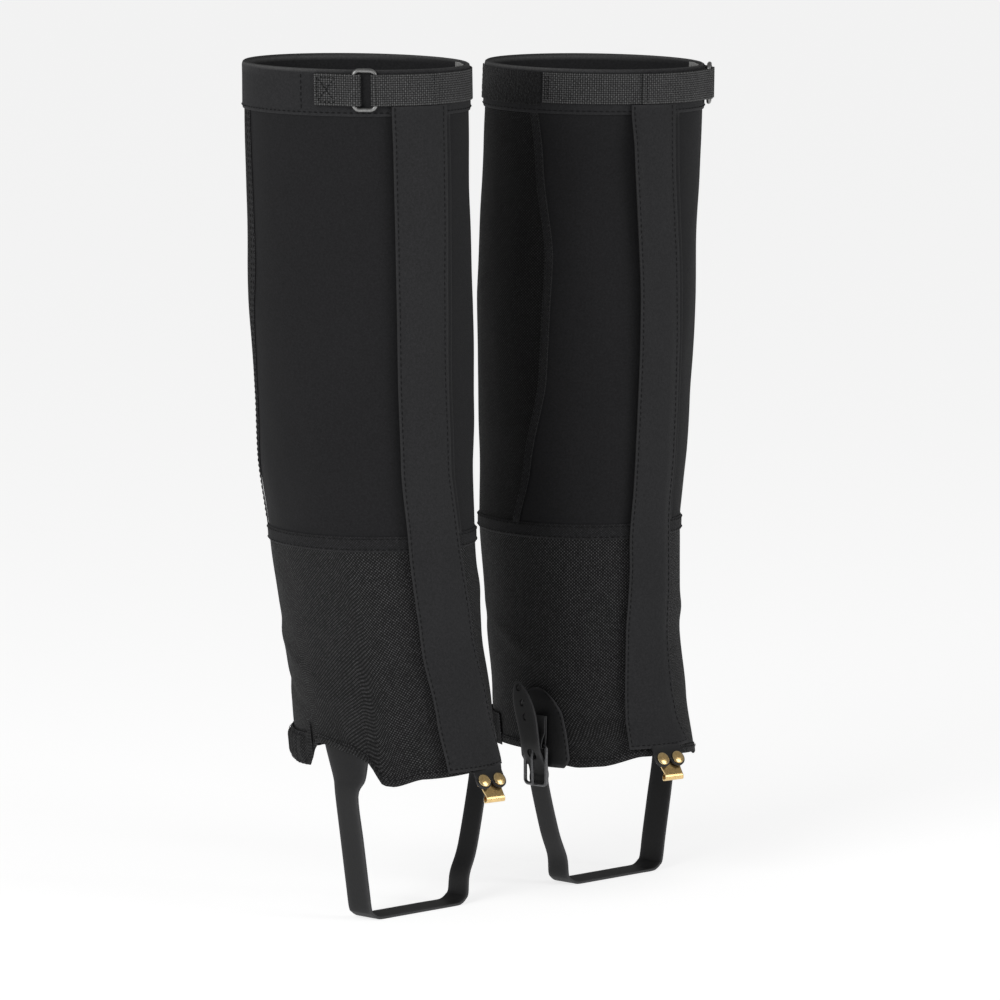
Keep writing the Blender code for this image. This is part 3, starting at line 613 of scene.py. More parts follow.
def wrap(name, side, first, last, top, bottom, layer, thickness, rows, **more):
    """A piece of the sleeve between two edge angles (functions of depth) and two depths
    (functions of angle), at a height layer(angle, depth)."""
    def place(across, down):
        angle = lerp(first(0.1), last(0.1), across)
        depth = lerp(top(angle), bottom(angle), down)
        angle = lerp(first(depth), last(depth), across)
        depth = lerp(top(angle), bottom(angle), down)
        return skin(side, angle, depth, layer(angle, depth))

    columns = more.pop("columns", None) or spans(first(0.1), last(0.1))
    return cloth(name, columns, rows, place, thickness, **more)


def flat(value):
    return lambda *_: value


def make_stitch_shape():
    """One stitch: a short thread that dips at both ends, along X, about 1 long and 1 thick."""
    deselect()
    bpy.ops.mesh.primitive_uv_sphere_add(segments=6, ring_count=5, radius=0.5)
    item = bpy.context.object
    bpy.ops.object.mode_set(mode="EDIT")
    bpy.ops.mesh.select_all(action="SELECT")
    bpy.ops.transform.rotate(value=math.pi / 2, orient_axis="Y", center_override=(0.0, 0.0, 0.0))
    bpy.ops.object.mode_set(mode="OBJECT")
    spots = np.array([tuple(vert.co) for vert in item.data.vertices])
    faces = [tuple(face.vertices) for face in item.data.polygons]
    bpy.data.objects.remove(item, do_unlink=True)
    return spots, faces


STITCH_SPOTS, STITCH_FACES = make_stitch_shape()


def stitches(name, lines, body, length=0.0026, gap=0.0012, thick=0.0007, blended=None):
    """Rows of stitches. Each line is a list of (point, outward direction)."""
    verts, faces = [], []
    for line in lines:
        points = np.array([tuple(point) for point, _ in line])
        ups = np.array([tuple(up) for _, up in line])
        legs = np.linalg.norm(np.diff(points, axis=0), axis=1)
        travelled = np.concatenate([[0.0], np.cumsum(legs)])
        at = length / 2
        while at < travelled[-1] - length / 2:
            ends = [np.array([np.interp(at + off, travelled, points[:, k]) for k in range(3)])
                    for off in (-length / 2, 0.0, length / 2)]
            up = np.array([np.interp(at, travelled, ups[:, k]) for k in range(3)])
            along = ends[2] - ends[0]
            along /= np.linalg.norm(along)
            up -= along * up.dot(along)
            up /= np.linalg.norm(up)
            across = np.cross(up, along)
            first = len(verts)
            for x, y, z in STITCH_SPOTS:
                dip = 1.0 - (2.0 * x) ** 2
                verts.append(tuple(ends[1] + along * x * length + across * y * thick
                                   + up * (z * thick * 0.8 + 0.25 * thick * dip)))
            faces += [tuple(first + index for index in face) for face in STITCH_FACES]
            at += length + gap
    mesh = bpy.data.meshes.new(name)
    mesh.from_pydata(verts, [], faces)
    item = bpy.data.objects.new(name, mesh)
    bpy.context.scene.collection.objects.link(item)
    tidy_normals(item)
    layer = item.data.uv_layers.new(name="cloth")
    for loop in item.data.loops:
        spot = item.data.vertices[loop.vertex_index].co
        layer.data[loop.index].uv = (spot.x + spot.y, spot.z)
    return finish_piece(item, body, "thread", blended=blended)


def tidy_normals(item):
    with mesh_of(item) as form:
        bmesh.ops.recalc_face_normals(form, faces=form.faces)


def seam_line(side, layer, along):
    """A line of (point, outward) on the sleeve through (angle, depth) spots, at a height that is
    a number or a function of both."""
    line = []
    for angle, depth in along:
        height = layer(angle, depth) if callable(layer) else layer
        spot = skin(side, angle, depth, height)
        line.append((spot, (skin(side, angle, depth, height + 0.01) - spot).normalized()))
    return line


def level_line(side, layer, first, last, depth):
    count = spans(first, last, step=0.005)
    angles = [lerp(first, last, index / count) for index in range(count + 1)]
    return seam_line(side, layer, [(angle, depth(angle)) for angle in angles])


def down_line(side, layer, angle, top, bottom):
    count = max(2, round((bottom - top) / 0.005))
    depths = [lerp(top, bottom, index / count) for index in range(count + 1)]
    return seam_line(side, layer, [(angle(depth), depth) for depth in depths])


# ---------------------------------------------------------------- sleeve

HEM_COLUMNS = 180
PANEL_THICK, TAPE_THICK = 0.0008, 0.0006
REAR_SEAM_HALF = 2.3    # degrees


def make_sleeve(side):
    body = f"{side}_sleeve"
    names = ("outer_panel", "inner_panel") if side == "left" else ("inner_panel", "outer_panel")
    layer = flat(PANEL_LAYER)

    def front(depth):
        return sewn(side, depth) - 0.5

    def round_to_front(depth):
        return sewn(side, depth) + 359.4

    edges = [lambda depth: calf_edges(side, depth)[0], lambda depth: calf_edges(side, depth)[1]]
    panels = [(names[0], front, edges[0]), ("rear_panel", edges[0], edges[1]),
              (names[1], edges[1], round_to_front)]
    made = {}
    for name, first, last in panels:
        # the rear panel takes the darker calf cloth, whose colour is painted shade
        look = "calf_painted_shade" if name == "rear_panel" else "softshell"
        item = wrap(f"{side}_{name}_cloth", side, first, last, flat(0.0015), flat(SEAM_DEPTH),
                    layer, PANEL_THICK, 84, rub=0.0)
        made[name] = finish_piece(item, body, look, [f"{side}_{name}"])
    item = wrap(f"{side}_lower_panel_cloth", side, front, round_to_front, flat(SEAM_DEPTH),
                lambda angle: hem(side, angle) - 0.001, layer, PANEL_THICK, 48, rub=0.0,
                columns=HEM_COLUMNS)
    made["lower_panel"] = finish_piece(item, body, "oxford", [f"{side}_lower_panel"])

    # the double-stitched tape over the joint of upper and lower cloth
    def tape(depth, other):
        def height(angle, at):
            edge = min(at - depth, other - at)
            return SEAM_LAYER - 0.0007 * (1.0 - ramp(edge, 0.0, 0.0012))
        return height

    top, bottom = SEAM_DEPTH - 0.0045, SEAM_DEPTH + 0.0052
    item = wrap(f"{side}_seam_binding_cloth", side, front, round_to_front, flat(top), flat(bottom),
                tape(top, bottom), TAPE_THICK, 8, rub=0.0009)
    made["binding"] = finish_piece(item, body, "thread_tape", [f"{side}_seam_binding"])
    item = wrap(f"{side}_hem_binding_cloth", side, front, round_to_front,
                lambda angle: hem(side, angle) - 0.0050, lambda angle: hem(side, angle) + 0.0004,
                flat(SEAM_LAYER - 0.0005), TAPE_THICK, 6, rub=0.0012, columns=HEM_COLUMNS)
    made["hem"] = finish_piece(item, body, "oxford", [f"{side}_hem_binding"])
    start, end = sewn(side, 0.3) + 1.0, sewn(side, 0.3) + 358.0
    rows = [level_line(side, 0.0020, start, end, flat(depth))
            for depth in (top + 0.0014, bottom - 0.0016)]
    rows.append(level_line(side, 0.0017, start, end, lambda angle: hem(side, angle) - 0.0036))
    half = REAR_SEAM_HALF
    for name, edge in zip("ab", edges):
        item = wrap(f"{side}_rear_seam_{name}", side, lambda depth: edge(depth) - half,
                    lambda depth: edge(depth) + half, flat(BAND_HEIGHT - 0.002),
                    flat(SEAM_DEPTH - 0.003), flat(SEAM_LAYER - 0.0002), TAPE_THICK, 60,
                    columns=4, rub=0.0008)
        which = "outer" if (name == "a") == (side == "left") else "inner"
        made["seam_" + which] = finish_piece(item, body, "thread_tape", [f"{side}_rear_seam_{which}"])
        for off in (-half + 0.7, half - 0.7):
            rows.append(down_line(side, 0.0017, lambda depth: edge(depth) + off,
                                  BAND_HEIGHT + 0.001, SEAM_DEPTH - 0.006))
    made["seam_stitches"] = stitches(f"{side}_seam_stitches", rows, body)
    return made


# angles round the band: its brushed tape, its join, and the facing inside it
BAND_TAPE, BAND_JOIN, FACING = (74.0, 140.0), 72.5, (34.0, 66.0)
BAND_PROFILE = [(0.020, -0.0011), (0.010, -0.0011), (0.003, -0.0010), (0.0008, -0.0007),
                (-0.0006, 0.0000), (-0.0011, 0.0006), (-0.0006, 0.0014), (0.0012, 0.0019),
                (0.006, BAND_LAYER), (0.012, BAND_LAYER), (0.018, BAND_LAYER), (0.024, BAND_LAYER),
                (0.0262, BAND_LAYER), (BAND_HEIGHT, BAND_LAYER - 0.0004)]


def paint_rim_highlight(item, side):
    """Paint a highlight along the fold of the rim, and hardly any wear on the band's cut edges."""
    edge = item.data.attributes["edge"]
    for vert in item.data.vertices:
        away = abs(vert.co.z - RIM_HEIGHT[side] - 0.0009) / 0.0012
        worn = 0.05 * edge.data[vert.index].value
        # the larger of the slight wear at the cut edges and the painted highlight along the fold
        edge.data[vert.index].value = max(worn, 0.9 * math.exp(-away * away))


def make_band(side):
    """The band folds over the rim in one piece, with a row of stitches above its lower edge."""
    body = f"{side}_sleeve"

    def place(across, down):
        depth, layer = BAND_PROFILE[round(down * (len(BAND_PROFILE) - 1))]
        return skin(side, sewn(side, 0.0) + 360.0 * across, depth, layer)

    item = cloth(f"{side}_top_band_cloth", 128, len(BAND_PROFILE) - 1, place, 0.0007, rub=0.0010,
                 closed=True)
    # a painted highlight along the rim's fold
    paint_rim_highlight(item, side)
    band = finish_piece(item, body, "band_cloth", [f"{side}_top_band"])
    start = sewn(side, 0.0)
    rows = [level_line(side, 0.0023, start + 2.0, start + 358.0, flat(BAND_HEIGHT - 0.0022))]
    way = WAYS[side]
    rows.append(down_line(side, 0.0023, flat(way * BAND_JOIN), 0.002, BAND_HEIGHT - 0.003))
    marks = stitches(f"{side}_band_stitches", rows, body)

    # brushed tape on the band's inner side
    def fluff(angle, depth):
        return 0.0029 + 0.0004 * noise.noise(Vector((angle * 0.9, depth * 900.0, way)))

    ends = sorted(-way * end for end in BAND_TAPE)
    item = wrap(f"{side}_band_fluff", side, flat(ends[0]), flat(ends[1]), flat(0.0012),
                flat(0.0226), fluff, TAPE_THICK, 20, columns=90, rub=0.0)
    fluffy = finish_piece(item, body, "hook_and_loop", [f"{side}_band_loop_tape"])
    # the grey facing inside the band, painted pale to stand for the light falling on the band's inner
    # side
    item = wrap(f"{side}_facing_cloth", side, flat(FACING[0]), flat(FACING[1]), flat(-0.0004),
                flat(0.020),
                lambda angle, depth: -0.0024 - 0.0004 * math.sin(angle * 0.5), 0.0008, 10, rub=0.001)
    facing = finish_piece(item, body, "facing", [f"{side}_inner_facing"])


# the elastic's ends round the heel, and its reach above and below the hem
HEEL_ENDS = {"left": (103.0, 244.0), "right": (116.0, 257.0)}
HEEL_UP, HEEL_DOWN = 0.0185, 0.002


def make_heel(side):
    """The gathered elastic casing round the back of the hem."""
    def height(angle, depth):
        edge = min(depth - hem(side, angle) + HEEL_UP, hem(side, angle) + HEEL_DOWN - depth)
        puff = 0.0011 * ramp(edge, 0.0, 0.006)
        pleat = 0.0009 * math.sin(math.radians(angle * 29.0) + 6.0 * depth) * ramp(edge, 0.0, 0.004)
        ends = ramp(min(angle - first, last - angle), 0.0, 12.0)
        ripple = 0.0004 * math.sin(math.radians(angle * 67.0))
        return 0.0018 + ends * (0.0010 * ramp(edge, 0.0, 0.003) + puff + pleat + ripple)

    first, last = HEEL_ENDS[side]
    item = wrap(f"{side}_heel_elastic_cloth", side, flat(first), flat(last),
                lambda angle: hem(side, angle) - HEEL_UP, lambda angle: hem(side, angle) + HEEL_DOWN,
                height, 0.0007, 14, columns=150, rub=0.0012)
    heel = finish_piece(item, f"{side}_sleeve", "elastic", [f"{side}_heel_elastic"])
    rows = [level_line(side, 0.0040, first + 1.0, last - 1.0, lambda angle: hem(side, angle) - lift)
            for lift in (0.0165, 0.0)]
    marks = stitches(f"{side}_heel_stitches", rows, f"{side}_sleeve")


# ---------------------------------------------------------------- flap

def hinge(side):
    """The flap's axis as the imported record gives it: a point on it and its direction."""
    joint = next(j for j in frame["joints"] if j["name"] == f"{side}_flap_open")
    return Vector(joint["pos_m"]), Vector(joint["axis"])


def flap_bend(side):
    """The line that the cloth bends along: from the sewn edge towards the free edge."""
    place, axis = hinge(side)
    middle = skin(side, -5.0, 0.24, 0.0)
    towards = (middle - place)
    towards -= axis * towards.dot(axis)
    towards.z = 0.0
    towards.normalize()
    return f"{side}_sleeve", f"{side}_flap", place - towards * 0.002, place + towards * 0.020


def flap_height(side, angle, depth):
    """The flap hugs the sewn edge and stands off a little at its free edge."""
    sewn_edge, free_edge = sewn(side, depth), free(side, depth)
    rise = ramp(sewn_edge - angle, 0.0, 9.0)
    layer = lerp(0.0024, FLAP_LAYER, rise)
    stand = 0.0012 * ramp(angle, free_edge + 9.0, free_edge)
    if side == "left":
        stand += 0.0034 * ramp(angle, free_edge + 9.0, free_edge) * (1.0 - ramp(depth, 0.03, 0.25))
    return layer + stand * ramp(depth, 0.022, 0.05)


def make_flap(side):
    bend = flap_bend(side)
    top, bottom = FLAP_TOP, FLAP_BOTTOM[side]

    def first(depth):
        return free(side, depth)

    def last(depth):
        return sewn(side, depth) + FOLD_PAST_SEAM

    item = wrap(f"{side}_front_flap_cloth", side, first, last, flat(top), flat(bottom),
                lambda angle, depth: flap_height(side, angle, depth), 0.0010, 120, columns=26,
                rub=0.0010)
    flap = finish_piece(item, None, "flap_cloth", [f"{side}_front_flap"], blended=bend)

    def above(angle, depth):
        return flap_height(side, angle, depth) + 0.0005

    rows = []
    for edge, off in ((last, -2.6), (first, 1.6)):
        depths = [lerp(top + 0.001, bottom - 0.001, index / 84) for index in range(85)]
        rows.append(seam_line(side, above, [(edge(depth) + off, depth) for depth in depths]))
    low = bottom - 0.0022
    angles = [lerp(first(low) + 1.0, last(low) - 1.0, index / 12) for index in range(13)]
    rows.append(seam_line(side, above, [(angle, low) for angle in angles]))
    marks = stitches(f"{side}_flap_stitches", rows, None, blended=bend)

    # the sewn strip beside the flap, and the closure tapes behind it
    item = wrap(f"{side}_flap_seam_cloth", side, lambda depth: sewn(side, depth) + 1.9,
                lambda depth: sewn(side, depth) + 5.6, flat(BAND_HEIGHT - 0.001),
                flat(SEAM_DEPTH - 0.004), flat(SEAM_LAYER - 0.0003), TAPE_THICK, 60, columns=4,
                rub=0.0008)
    finish_piece(item, f"{side}_sleeve", "softshell", [f"{side}_flap_seam"])
    for name, node, layer, look, rides in (
            ("loop_fluff", "loop_tape", SEAM_LAYER, "hook_and_loop", "sleeve"),
            ("hook_fluff", "hook_tape", 0.0029, "hook_and_loop", "flap")):
        item = wrap(f"{side}_{name}", side, lambda depth: free(side, depth) + CLOSURE_TAPE[0],
                    lambda depth: free(side, depth) + CLOSURE_TAPE[1], flat(0.031),
                    flat(SEAM_DEPTH - 0.006),
                    lambda angle, depth: layer + 0.0001 * noise.noise(Vector((angle, depth * 900, 0))),
                    0.0005, 70, columns=8, rub=0.0)
        if rides == "flap":
            finish_piece(item, None, look, [f"{side}_{node}"], blended=bend)
        else:
            finish_piece(item, f"{side}_{rides}", look, [f"{side}_{node}"])


# ---------------------------------------------------------------- top strap and ring

RING_ANGLE, STUB_ANGLE, STRAP_INNER_ANGLE = 40.0, 64.0, 73.0
RING_WIDTH, RING_HEIGHT, RING_WIRE = 0.016, 0.0275, 0.0014
FOLD_SLACK = 0.0016
TAIL_END = {"right": 1.0, "left": -21.0}
WEBBING = 0.0011
SHORT_STITCH = {"length": 0.0020, "gap": 0.0007}
TINY_STITCH = {"length": 0.0016, "gap": 0.0005}


def degrees_for(length):
    return math.degrees(length / (HALF_WIDTH[0][1] + STRAP_LAYER))


def strap_piece(name, side, path, steps_between=3):
    """Flat webbing whose path is a list of (angle, layer) points, smoothed between them."""
    spots = smooth_path(path, steps_between)

    def place(across, down):
        angle, layer = spots[round(across * (len(spots) - 1))]
        return skin(side, angle, lerp(STRAP_TOP, STRAP_BOTTOM, down), layer)

    return cloth(name, len(spots) - 1, 8, place, WEBBING, rub=0.0009)


def make_straps(side):
    way, body = WAYS[side], f"{side}_sleeve"
    bar = degrees_for(RING_WIDTH / 2 - RING_WIRE)
    turn_radius = RING_WIRE + 0.0004 + WEBBING / 2
    bar_layer = STRAP_LAYER + turn_radius
    bend = [(math.cos(math.radians(a)), math.sin(math.radians(a)))
            for a in (90, 60, 30, 0, -30, -60, -90)]
    upper = STRAP_LAYER + WEBBING + 0.0003
    outer_bar = way * (RING_ANGLE + bar)
    path = [(way * STUB_ANGLE, STRAP_LAYER), (way * (STUB_ANGLE - 6.0), STRAP_LAYER)]
    reach = degrees_for(turn_radius + FOLD_SLACK)
    path += [(outer_bar - way * reach * c * (1.0 if c > 0 else 0.6), bar_layer - turn_radius * s)
             for c, s in bend]
    path += [(outer_bar + way * 4.5, upper + 0.0012), (way * (STUB_ANGLE - 6.0), upper),
             (way * (STUB_ANGLE + 0.6), upper)]
    stub = finish_piece(strap_piece(f"{side}_strap_stub_webbing", side, path), body, "webbing",
                        [f"{side}_strap_stub"])
    inner_bar = way * (RING_ANGLE - bar)
    start = -way * STRAP_INNER_ANGLE
    count = spans(start, inner_bar, step=0.004)
    path = [(lerp(start, inner_bar - way * 5.0, index / count), STRAP_LAYER)
            for index in range(count + 1)]
    path += [(inner_bar + way * degrees_for(turn_radius) * c, bar_layer - turn_radius * s)
             for c, s in bend]
    strap = finish_piece(strap_piece(f"{side}_top_strap_webbing", side, path, 2), body, "webbing",
                         [f"{side}_top_strap"])
    begin, stop = inner_bar + way * 0.1, way * TAIL_END[side]
    count = spans(begin, stop, step=0.004)
    path = [(begin, bar_layer + turn_radius), (begin - way * 4.0, upper + 0.0016)]
    path += [(lerp(begin - way * 9.0, stop, index / count), upper + 0.0002)
             for index in range(count + 1)]
    bend_line = (body, f"{side}_strap_tail", skin(side, begin, 0.011, 0.006),
                 skin(side, begin - way * 9.0, 0.011, 0.006))
    tail = finish_piece(strap_piece(f"{side}_strap_tail_webbing", side, path, 2), None, "webbing",
                        [f"{side}_strap_tail"], blended=bend_line)

    # the box of stitches that holds the stub, and the row at the strap's sewn end
    low, high = STRAP_TOP + 0.0022, STRAP_BOTTOM - 0.0022
    near, far = way * (STUB_ANGLE - 10.0), way * (STUB_ANGLE - 1.0)
    top_face = upper + WEBBING / 2 + 0.0001
    rows = [seam_line(side, top_face, [(lerp(a, b, t / 6), lerp(c, d, t / 6)) for t in range(7)])
            for a, b, c, d in ((far, far, low, high), (near, near, low, high), (near, far, low, low),
                               (near, far, high, high), (near, far, low, high),
                               (near, far, high, low))]
    marks = stitches(f"{side}_stub_stitches", rows, body, **SHORT_STITCH)
    end = -way * (STRAP_INNER_ANGLE - 1.6)
    rows = [down_line(side, STRAP_LAYER + WEBBING / 2 + 0.0001, flat(end - off), low, high)
            for off in (0.0, -way * 1.6)]
    more = stitches(f"{side}_strap_end_stitches", rows, body, **SHORT_STITCH)
    hem_angle = stop + way * 2.2
    rows = [down_line(side, top_face, flat(hem_angle), low - 0.001, high + 0.001)]
    tail_marks = stitches(f"{side}_tail_stitches", rows, f"{side}_strap_tail", **TINY_STITCH)
    make_ring(side, way * RING_ANGLE, bar_layer)


def bar_through(name, spots, radius, closed, corner=0.0, segments=4):
    """A round bar through the spots: a path extruded point by point, its corners bevelled."""
    deselect()
    bpy.ops.mesh.primitive_plane_add(size=0.001, location=spots[0])
    item = bpy.context.object
    item.name = name
    bpy.ops.object.mode_set(mode="EDIT")
    bpy.ops.mesh.select_all(action="SELECT")
    bpy.ops.mesh.merge(type="CENTER")
    for low, high in zip(spots, spots[1:]):
        bpy.ops.mesh.extrude_region_move(
            TRANSFORM_OT_translate={"value": tuple(Vector(high) - Vector(low))})
    if closed:
        bpy.ops.mesh.select_all(action="SELECT")
        bpy.ops.object.mode_set(mode="OBJECT")
        with mesh_of(item) as form:
            form.edges.new([vert for vert in form.verts if len(vert.link_edges) == 1])
        bpy.ops.object.mode_set(mode="EDIT")
    if corner:
        bpy.ops.mesh.select_all(action="SELECT")
        bpy.ops.mesh.bevel(offset=corner, segments=segments, affect="VERTICES")
    bpy.ops.object.mode_set(mode="OBJECT")
    bpy.ops.object.convert(target="CURVE")
    item = bpy.context.object
    item.data.bevel_depth = radius
    item.data.bevel_resolution = 4
    item.data.use_fill_caps = True
    bpy.ops.object.convert(target="MESH")
    item = bpy.context.object
    bpy.ops.object.transform_apply(location=True, rotation=True, scale=True)
    with mesh_of(item) as form:
        bmesh.ops.remove_doubles(form, verts=form.verts, dist=0.00001)
        bmesh.ops.recalc_face_normals(form, faces=form.faces)
    return item


def make_ring(side, angle, layer):
    """A satin ring of round wire, bent to a rectangle with round corners."""
    middle = (STRAP_TOP + STRAP_BOTTOM) / 2
    wide, high = RING_WIDTH / 2 - RING_WIRE, RING_HEIGHT / 2 - RING_WIRE
    spots = [skin(side, angle + degrees_for(x), middle - y, layer)
             for x, y in ((-wide, -high), (wide, -high), (wide, high), (-wide, high))]
    item = bar_through(f"{side}_ring", spots, RING_WIRE, True, corner=0.0036, segments=6)
    finish_piece(item, f"{side}_sleeve", "ring_metal", [f"{side}_strap_ring"])


# ---------------------------------------------------------------- lace hook

TAB_ANGLE = {"right": 7.0, "left": -7.0}
TAB_FACES = {"right": -8.0, "left": -10.0}
TAB_DEPTH = {"right": 0.4423, "left": 0.4381}
TAB_TILT, TAB_WIDTH = 33.0, 0.0225
RIVET_SPACING, RIVET_DROP, RIVET_CAP, RIVET_POST = 0.0118, 0.0085, 0.0044, 0.0016
RUBBER = 0.0016


def tab_frame(side):
    """Origin at the flap's hem; X across, Y up the tab, Z out of its face."""
    turn, tilt = math.radians(TAB_FACES[side]), math.radians(TAB_TILT)
    origin = skin(side, TAB_ANGLE[side], TAB_DEPTH[side], FLAP_LAYER - 0.0010)
    across = Vector((math.cos(turn), math.sin(turn), 0.0))
    outward = Vector((math.sin(turn), -math.cos(turn), 0.0))
    up = Vector((0.0, 0.0, 1.0)) * math.cos(tilt) - outward * math.sin(tilt)
    return Matrix.Translation(origin) @ Matrix((across, up, across.cross(up))).transposed().to_4x4()


def settle(item, place):
    """Move a piece made about the origin to its place, and leave its object at the origin."""
    pick(item)
    item.matrix_world = place
    bpy.ops.object.transform_apply(location=True, rotation=True, scale=True)
    return item


def mark_edges(item, cutoff=50.0):
    """Give a hard piece its edge attribute: 1 at sharp outer edges."""
    with mesh_of(item) as form:
        layer = form.verts.layers.float.get("edge") or form.verts.layers.float.new("edge")
        for vert in form.verts:
            bends = [edge.calc_face_angle_signed(0.0) for edge in vert.link_edges
                     if len(edge.link_faces) == 2]
            vert[layer] = min(1.0, max(0.0, max(bends, default=0.0)) / math.radians(cutoff))
    return item


def join_solids(item, others, kind="UNION"):
    for other in others:
        change = item.modifiers.new("join", "BOOLEAN")
        change.operation = kind
        change.solver = "EXACT"
        change.object = other
        apply_modifiers(item)
        bpy.data.objects.remove(other, do_unlink=True)
    return item


def disc(radius, thick, x, y, z, sides=40):
    deselect()
    bpy.ops.mesh.primitive_cylinder_add(vertices=sides, radius=radius, depth=thick,
                                        location=(x, y, z))
    return bpy.context.object


def block(width, height, thick, x, y, z):
    deselect()
    bpy.ops.mesh.primitive_cube_add(size=1.0, location=(x, y, z))
    item = bpy.context.object
    item.scale = (width, height, thick)
    bpy.ops.object.transform_apply(location=True, rotation=True, scale=True)
    return item


def make_tab(side, place):
    """A square moulded tab that ends in two lobes round its rivets."""
    radius = TAB_WIDTH / 2 - RIVET_SPACING / 2
    item = block(TAB_WIDTH - 0.0012, 0.0100, RUBBER, 0.0, -0.0040, RUBBER / 2)
    lobes = [disc(radius, RUBBER, way * RIVET_SPACING / 2, -RIVET_DROP, RUBBER / 2)
             for way in (-1, 1)]
    join_solids(item, lobes)
    holes = [disc(0.0019, 0.006, way * RIVET_SPACING / 2, -RIVET_DROP, RUBBER / 2, 20)
             for way in (-1, 1)]
    join_solids(item, holes, "DIFFERENCE")
    bevel_all(item, 0.00035, 2)
    item.name = f"{side}_tab"
    mark_edges(settle(item, place))
    finish_piece(item, f"{side}_lace_hook", "rubber", [f"{side}_hook_tab"])


def grow_cap(item, wanted, steps):
    """Extrude the flat end at a wanted height, step by step: each a growth and a climb."""
    form = bmesh.from_edit_mesh(item.data)
    for face in form.faces:
        face.select = abs(face.normal.z) > 0.9 and wanted(face.calc_center_median().z)
    bmesh.update_edit_mesh(item.data)
    for grow, climb in steps:
        bpy.ops.mesh.extrude_region_move(TRANSFORM_OT_translate={"value": (0.0, 0.0, climb)})
        bpy.ops.transform.resize(value=(grow, grow, 1.0))


def make_rivets(side, place):
    """Each rivet is a shallow dome with a rolled rim, its post and its set head."""
    for name, way in (("a", -1), ("b", 1)):
        deselect()
        bpy.ops.mesh.primitive_cylinder_add(vertices=36, radius=RIVET_POST, depth=0.0050,
                                            location=(0.0, 0.0, 0.0002))
        item = bpy.context.object
        item.name = f"{side}_rivet_{name}"
        bpy.ops.object.mode_set(mode="EDIT")
        base = 0.0027
        grow_cap(item, lambda height: height > 0, (
            (RIVET_CAP / RIVET_POST * 0.97, RUBBER + 0.0003 - base), (1.03, 0.00035),
            (0.965, 0.00045), (0.85, 0.00035), (0.62, 0.00030), (0.35, 0.00014)))
        grow_cap(item, lambda height: height < -0.002, ((1.85, 0.0), (0.92, -0.0006), (0.5, -0.0002)))
        bpy.ops.object.mode_set(mode="OBJECT")
        tidy_normals(item)
        bevel_all(item, 0.00012, 2, 45.0)
        settle(item, place @ Matrix.Translation((way * RIVET_SPACING / 2, -RIVET_DROP, 0.0)))
        mark_edges(item)
        finish_piece(item, f"{side}_lace_hook", "brass", [f"{side}_hook_rivet_{name}"])


HOOK_PATH = [(-0.0045, -0.0010), (-0.0105, -0.0010), (-0.0145, -0.0010), (-0.0168, -0.0005),
             (-0.0192, -0.0002), (-0.0208, -0.0007), (-0.0217, -0.0019), (-0.0215, -0.0032),
             (-0.0204, -0.0040), (-0.0187, -0.0042), (-0.0165, -0.0039)]
HOOK_WIDTHS = [0.0152, 0.0152, 0.0146, 0.0138, 0.0136, 0.0142, 0.0148, 0.0148, 0.0142, 0.0128, 0.0110]


def make_hook(side, place):
    """A pressed hook: a strip drawn out row by row, narrowed at its neck and curled under."""
    deselect()
    bpy.ops.mesh.primitive_grid_add(x_subdivisions=6, y_subdivisions=1, size=1.0)
    item = bpy.context.object
    item.name = f"{side}_hook"
    item.scale = (HOOK_WIDTHS[0], 0.0001, 1.0)
    item.location = (0.0, HOOK_PATH[0][0], HOOK_PATH[0][1])
    bpy.ops.object.transform_apply(location=True, rotation=True, scale=True)
    bpy.ops.object.mode_set(mode="EDIT")
    bpy.ops.mesh.select_mode(type="VERT")
    form = bmesh.from_edit_mesh(item.data)
    low = min(vert.co.y for vert in form.verts)
    for vert in form.verts:
        vert.select_set(vert.co.y < low + 0.00001)
    form.select_flush_mode()
    bmesh.update_edit_mesh(item.data)
    for (at, old), (to, new) in zip(zip(HOOK_PATH, HOOK_WIDTHS), zip(HOOK_PATH[1:], HOOK_WIDTHS[1:])):
        bpy.ops.mesh.extrude_region_move(
            TRANSFORM_OT_translate={"value": (0.0, to[0] - at[0], to[1] - at[1])})
        bpy.ops.transform.resize(value=(new / old, 1.0, 1.0), center_override=(0.0, to[0], to[1]))
    bpy.ops.object.mode_set(mode="OBJECT")
    soft = item.modifiers.new("round", "SUBSURF")
    soft.levels = soft.render_levels = 2
    solid = item.modifiers.new("plate", "SOLIDIFY")
    solid.thickness = 0.0009
    solid.offset = 0.0
    apply_modifiers(item)
    tidy_normals(item)
    bevel_all(item, 0.00022, 2)
    settle(item, place)
    mark_edges(item)
    finish_piece(item, f"{side}_lace_hook", "brass", [f"{side}_lace_hook"])


# ---------------------------------------------------------------- under-foot strap

STRAP_Y = -0.0285
FRAME_WIDTH, FRAME_DROP, FRAME_WIRE = 0.0215, 0.0260, 0.0012
BAR_DEPTH, BAR_LAYER = 0.4365, 0.0074
PRONG_WIRE, LOOP_WIDTH = 0.0009, 0.014
TIP_LEAN = 0.0135
FAN_ANGLE, FAN_LAYER, FAN_BOTTOM = 80.0, -0.0020, 0.459
# punched holes: height above the buckle's bar, and radius; the last has room for the prong
HOLES = ((0.0365, 0.0024), (0.0275, 0.0024), (0.0185, 0.0024), (-0.0056, 0.0037))
STRAP_END_LINE = [(0.040, 0.0030), (0.029, 0.0034), (0.018, 0.0038), (0.008, 0.0046),
                  (0.001, 0.0050), (-0.004, 0.0040), (-0.009, 0.0012), (-0.014, -0.0018),
                  (-0.019, -0.0032), (-0.027, -0.0036)]


def plain_skin(side, angle, depth, layer):
    """A point on the even shape, without folds."""
    return skin(side, angle, depth, layer - drape(side, angle, depth))


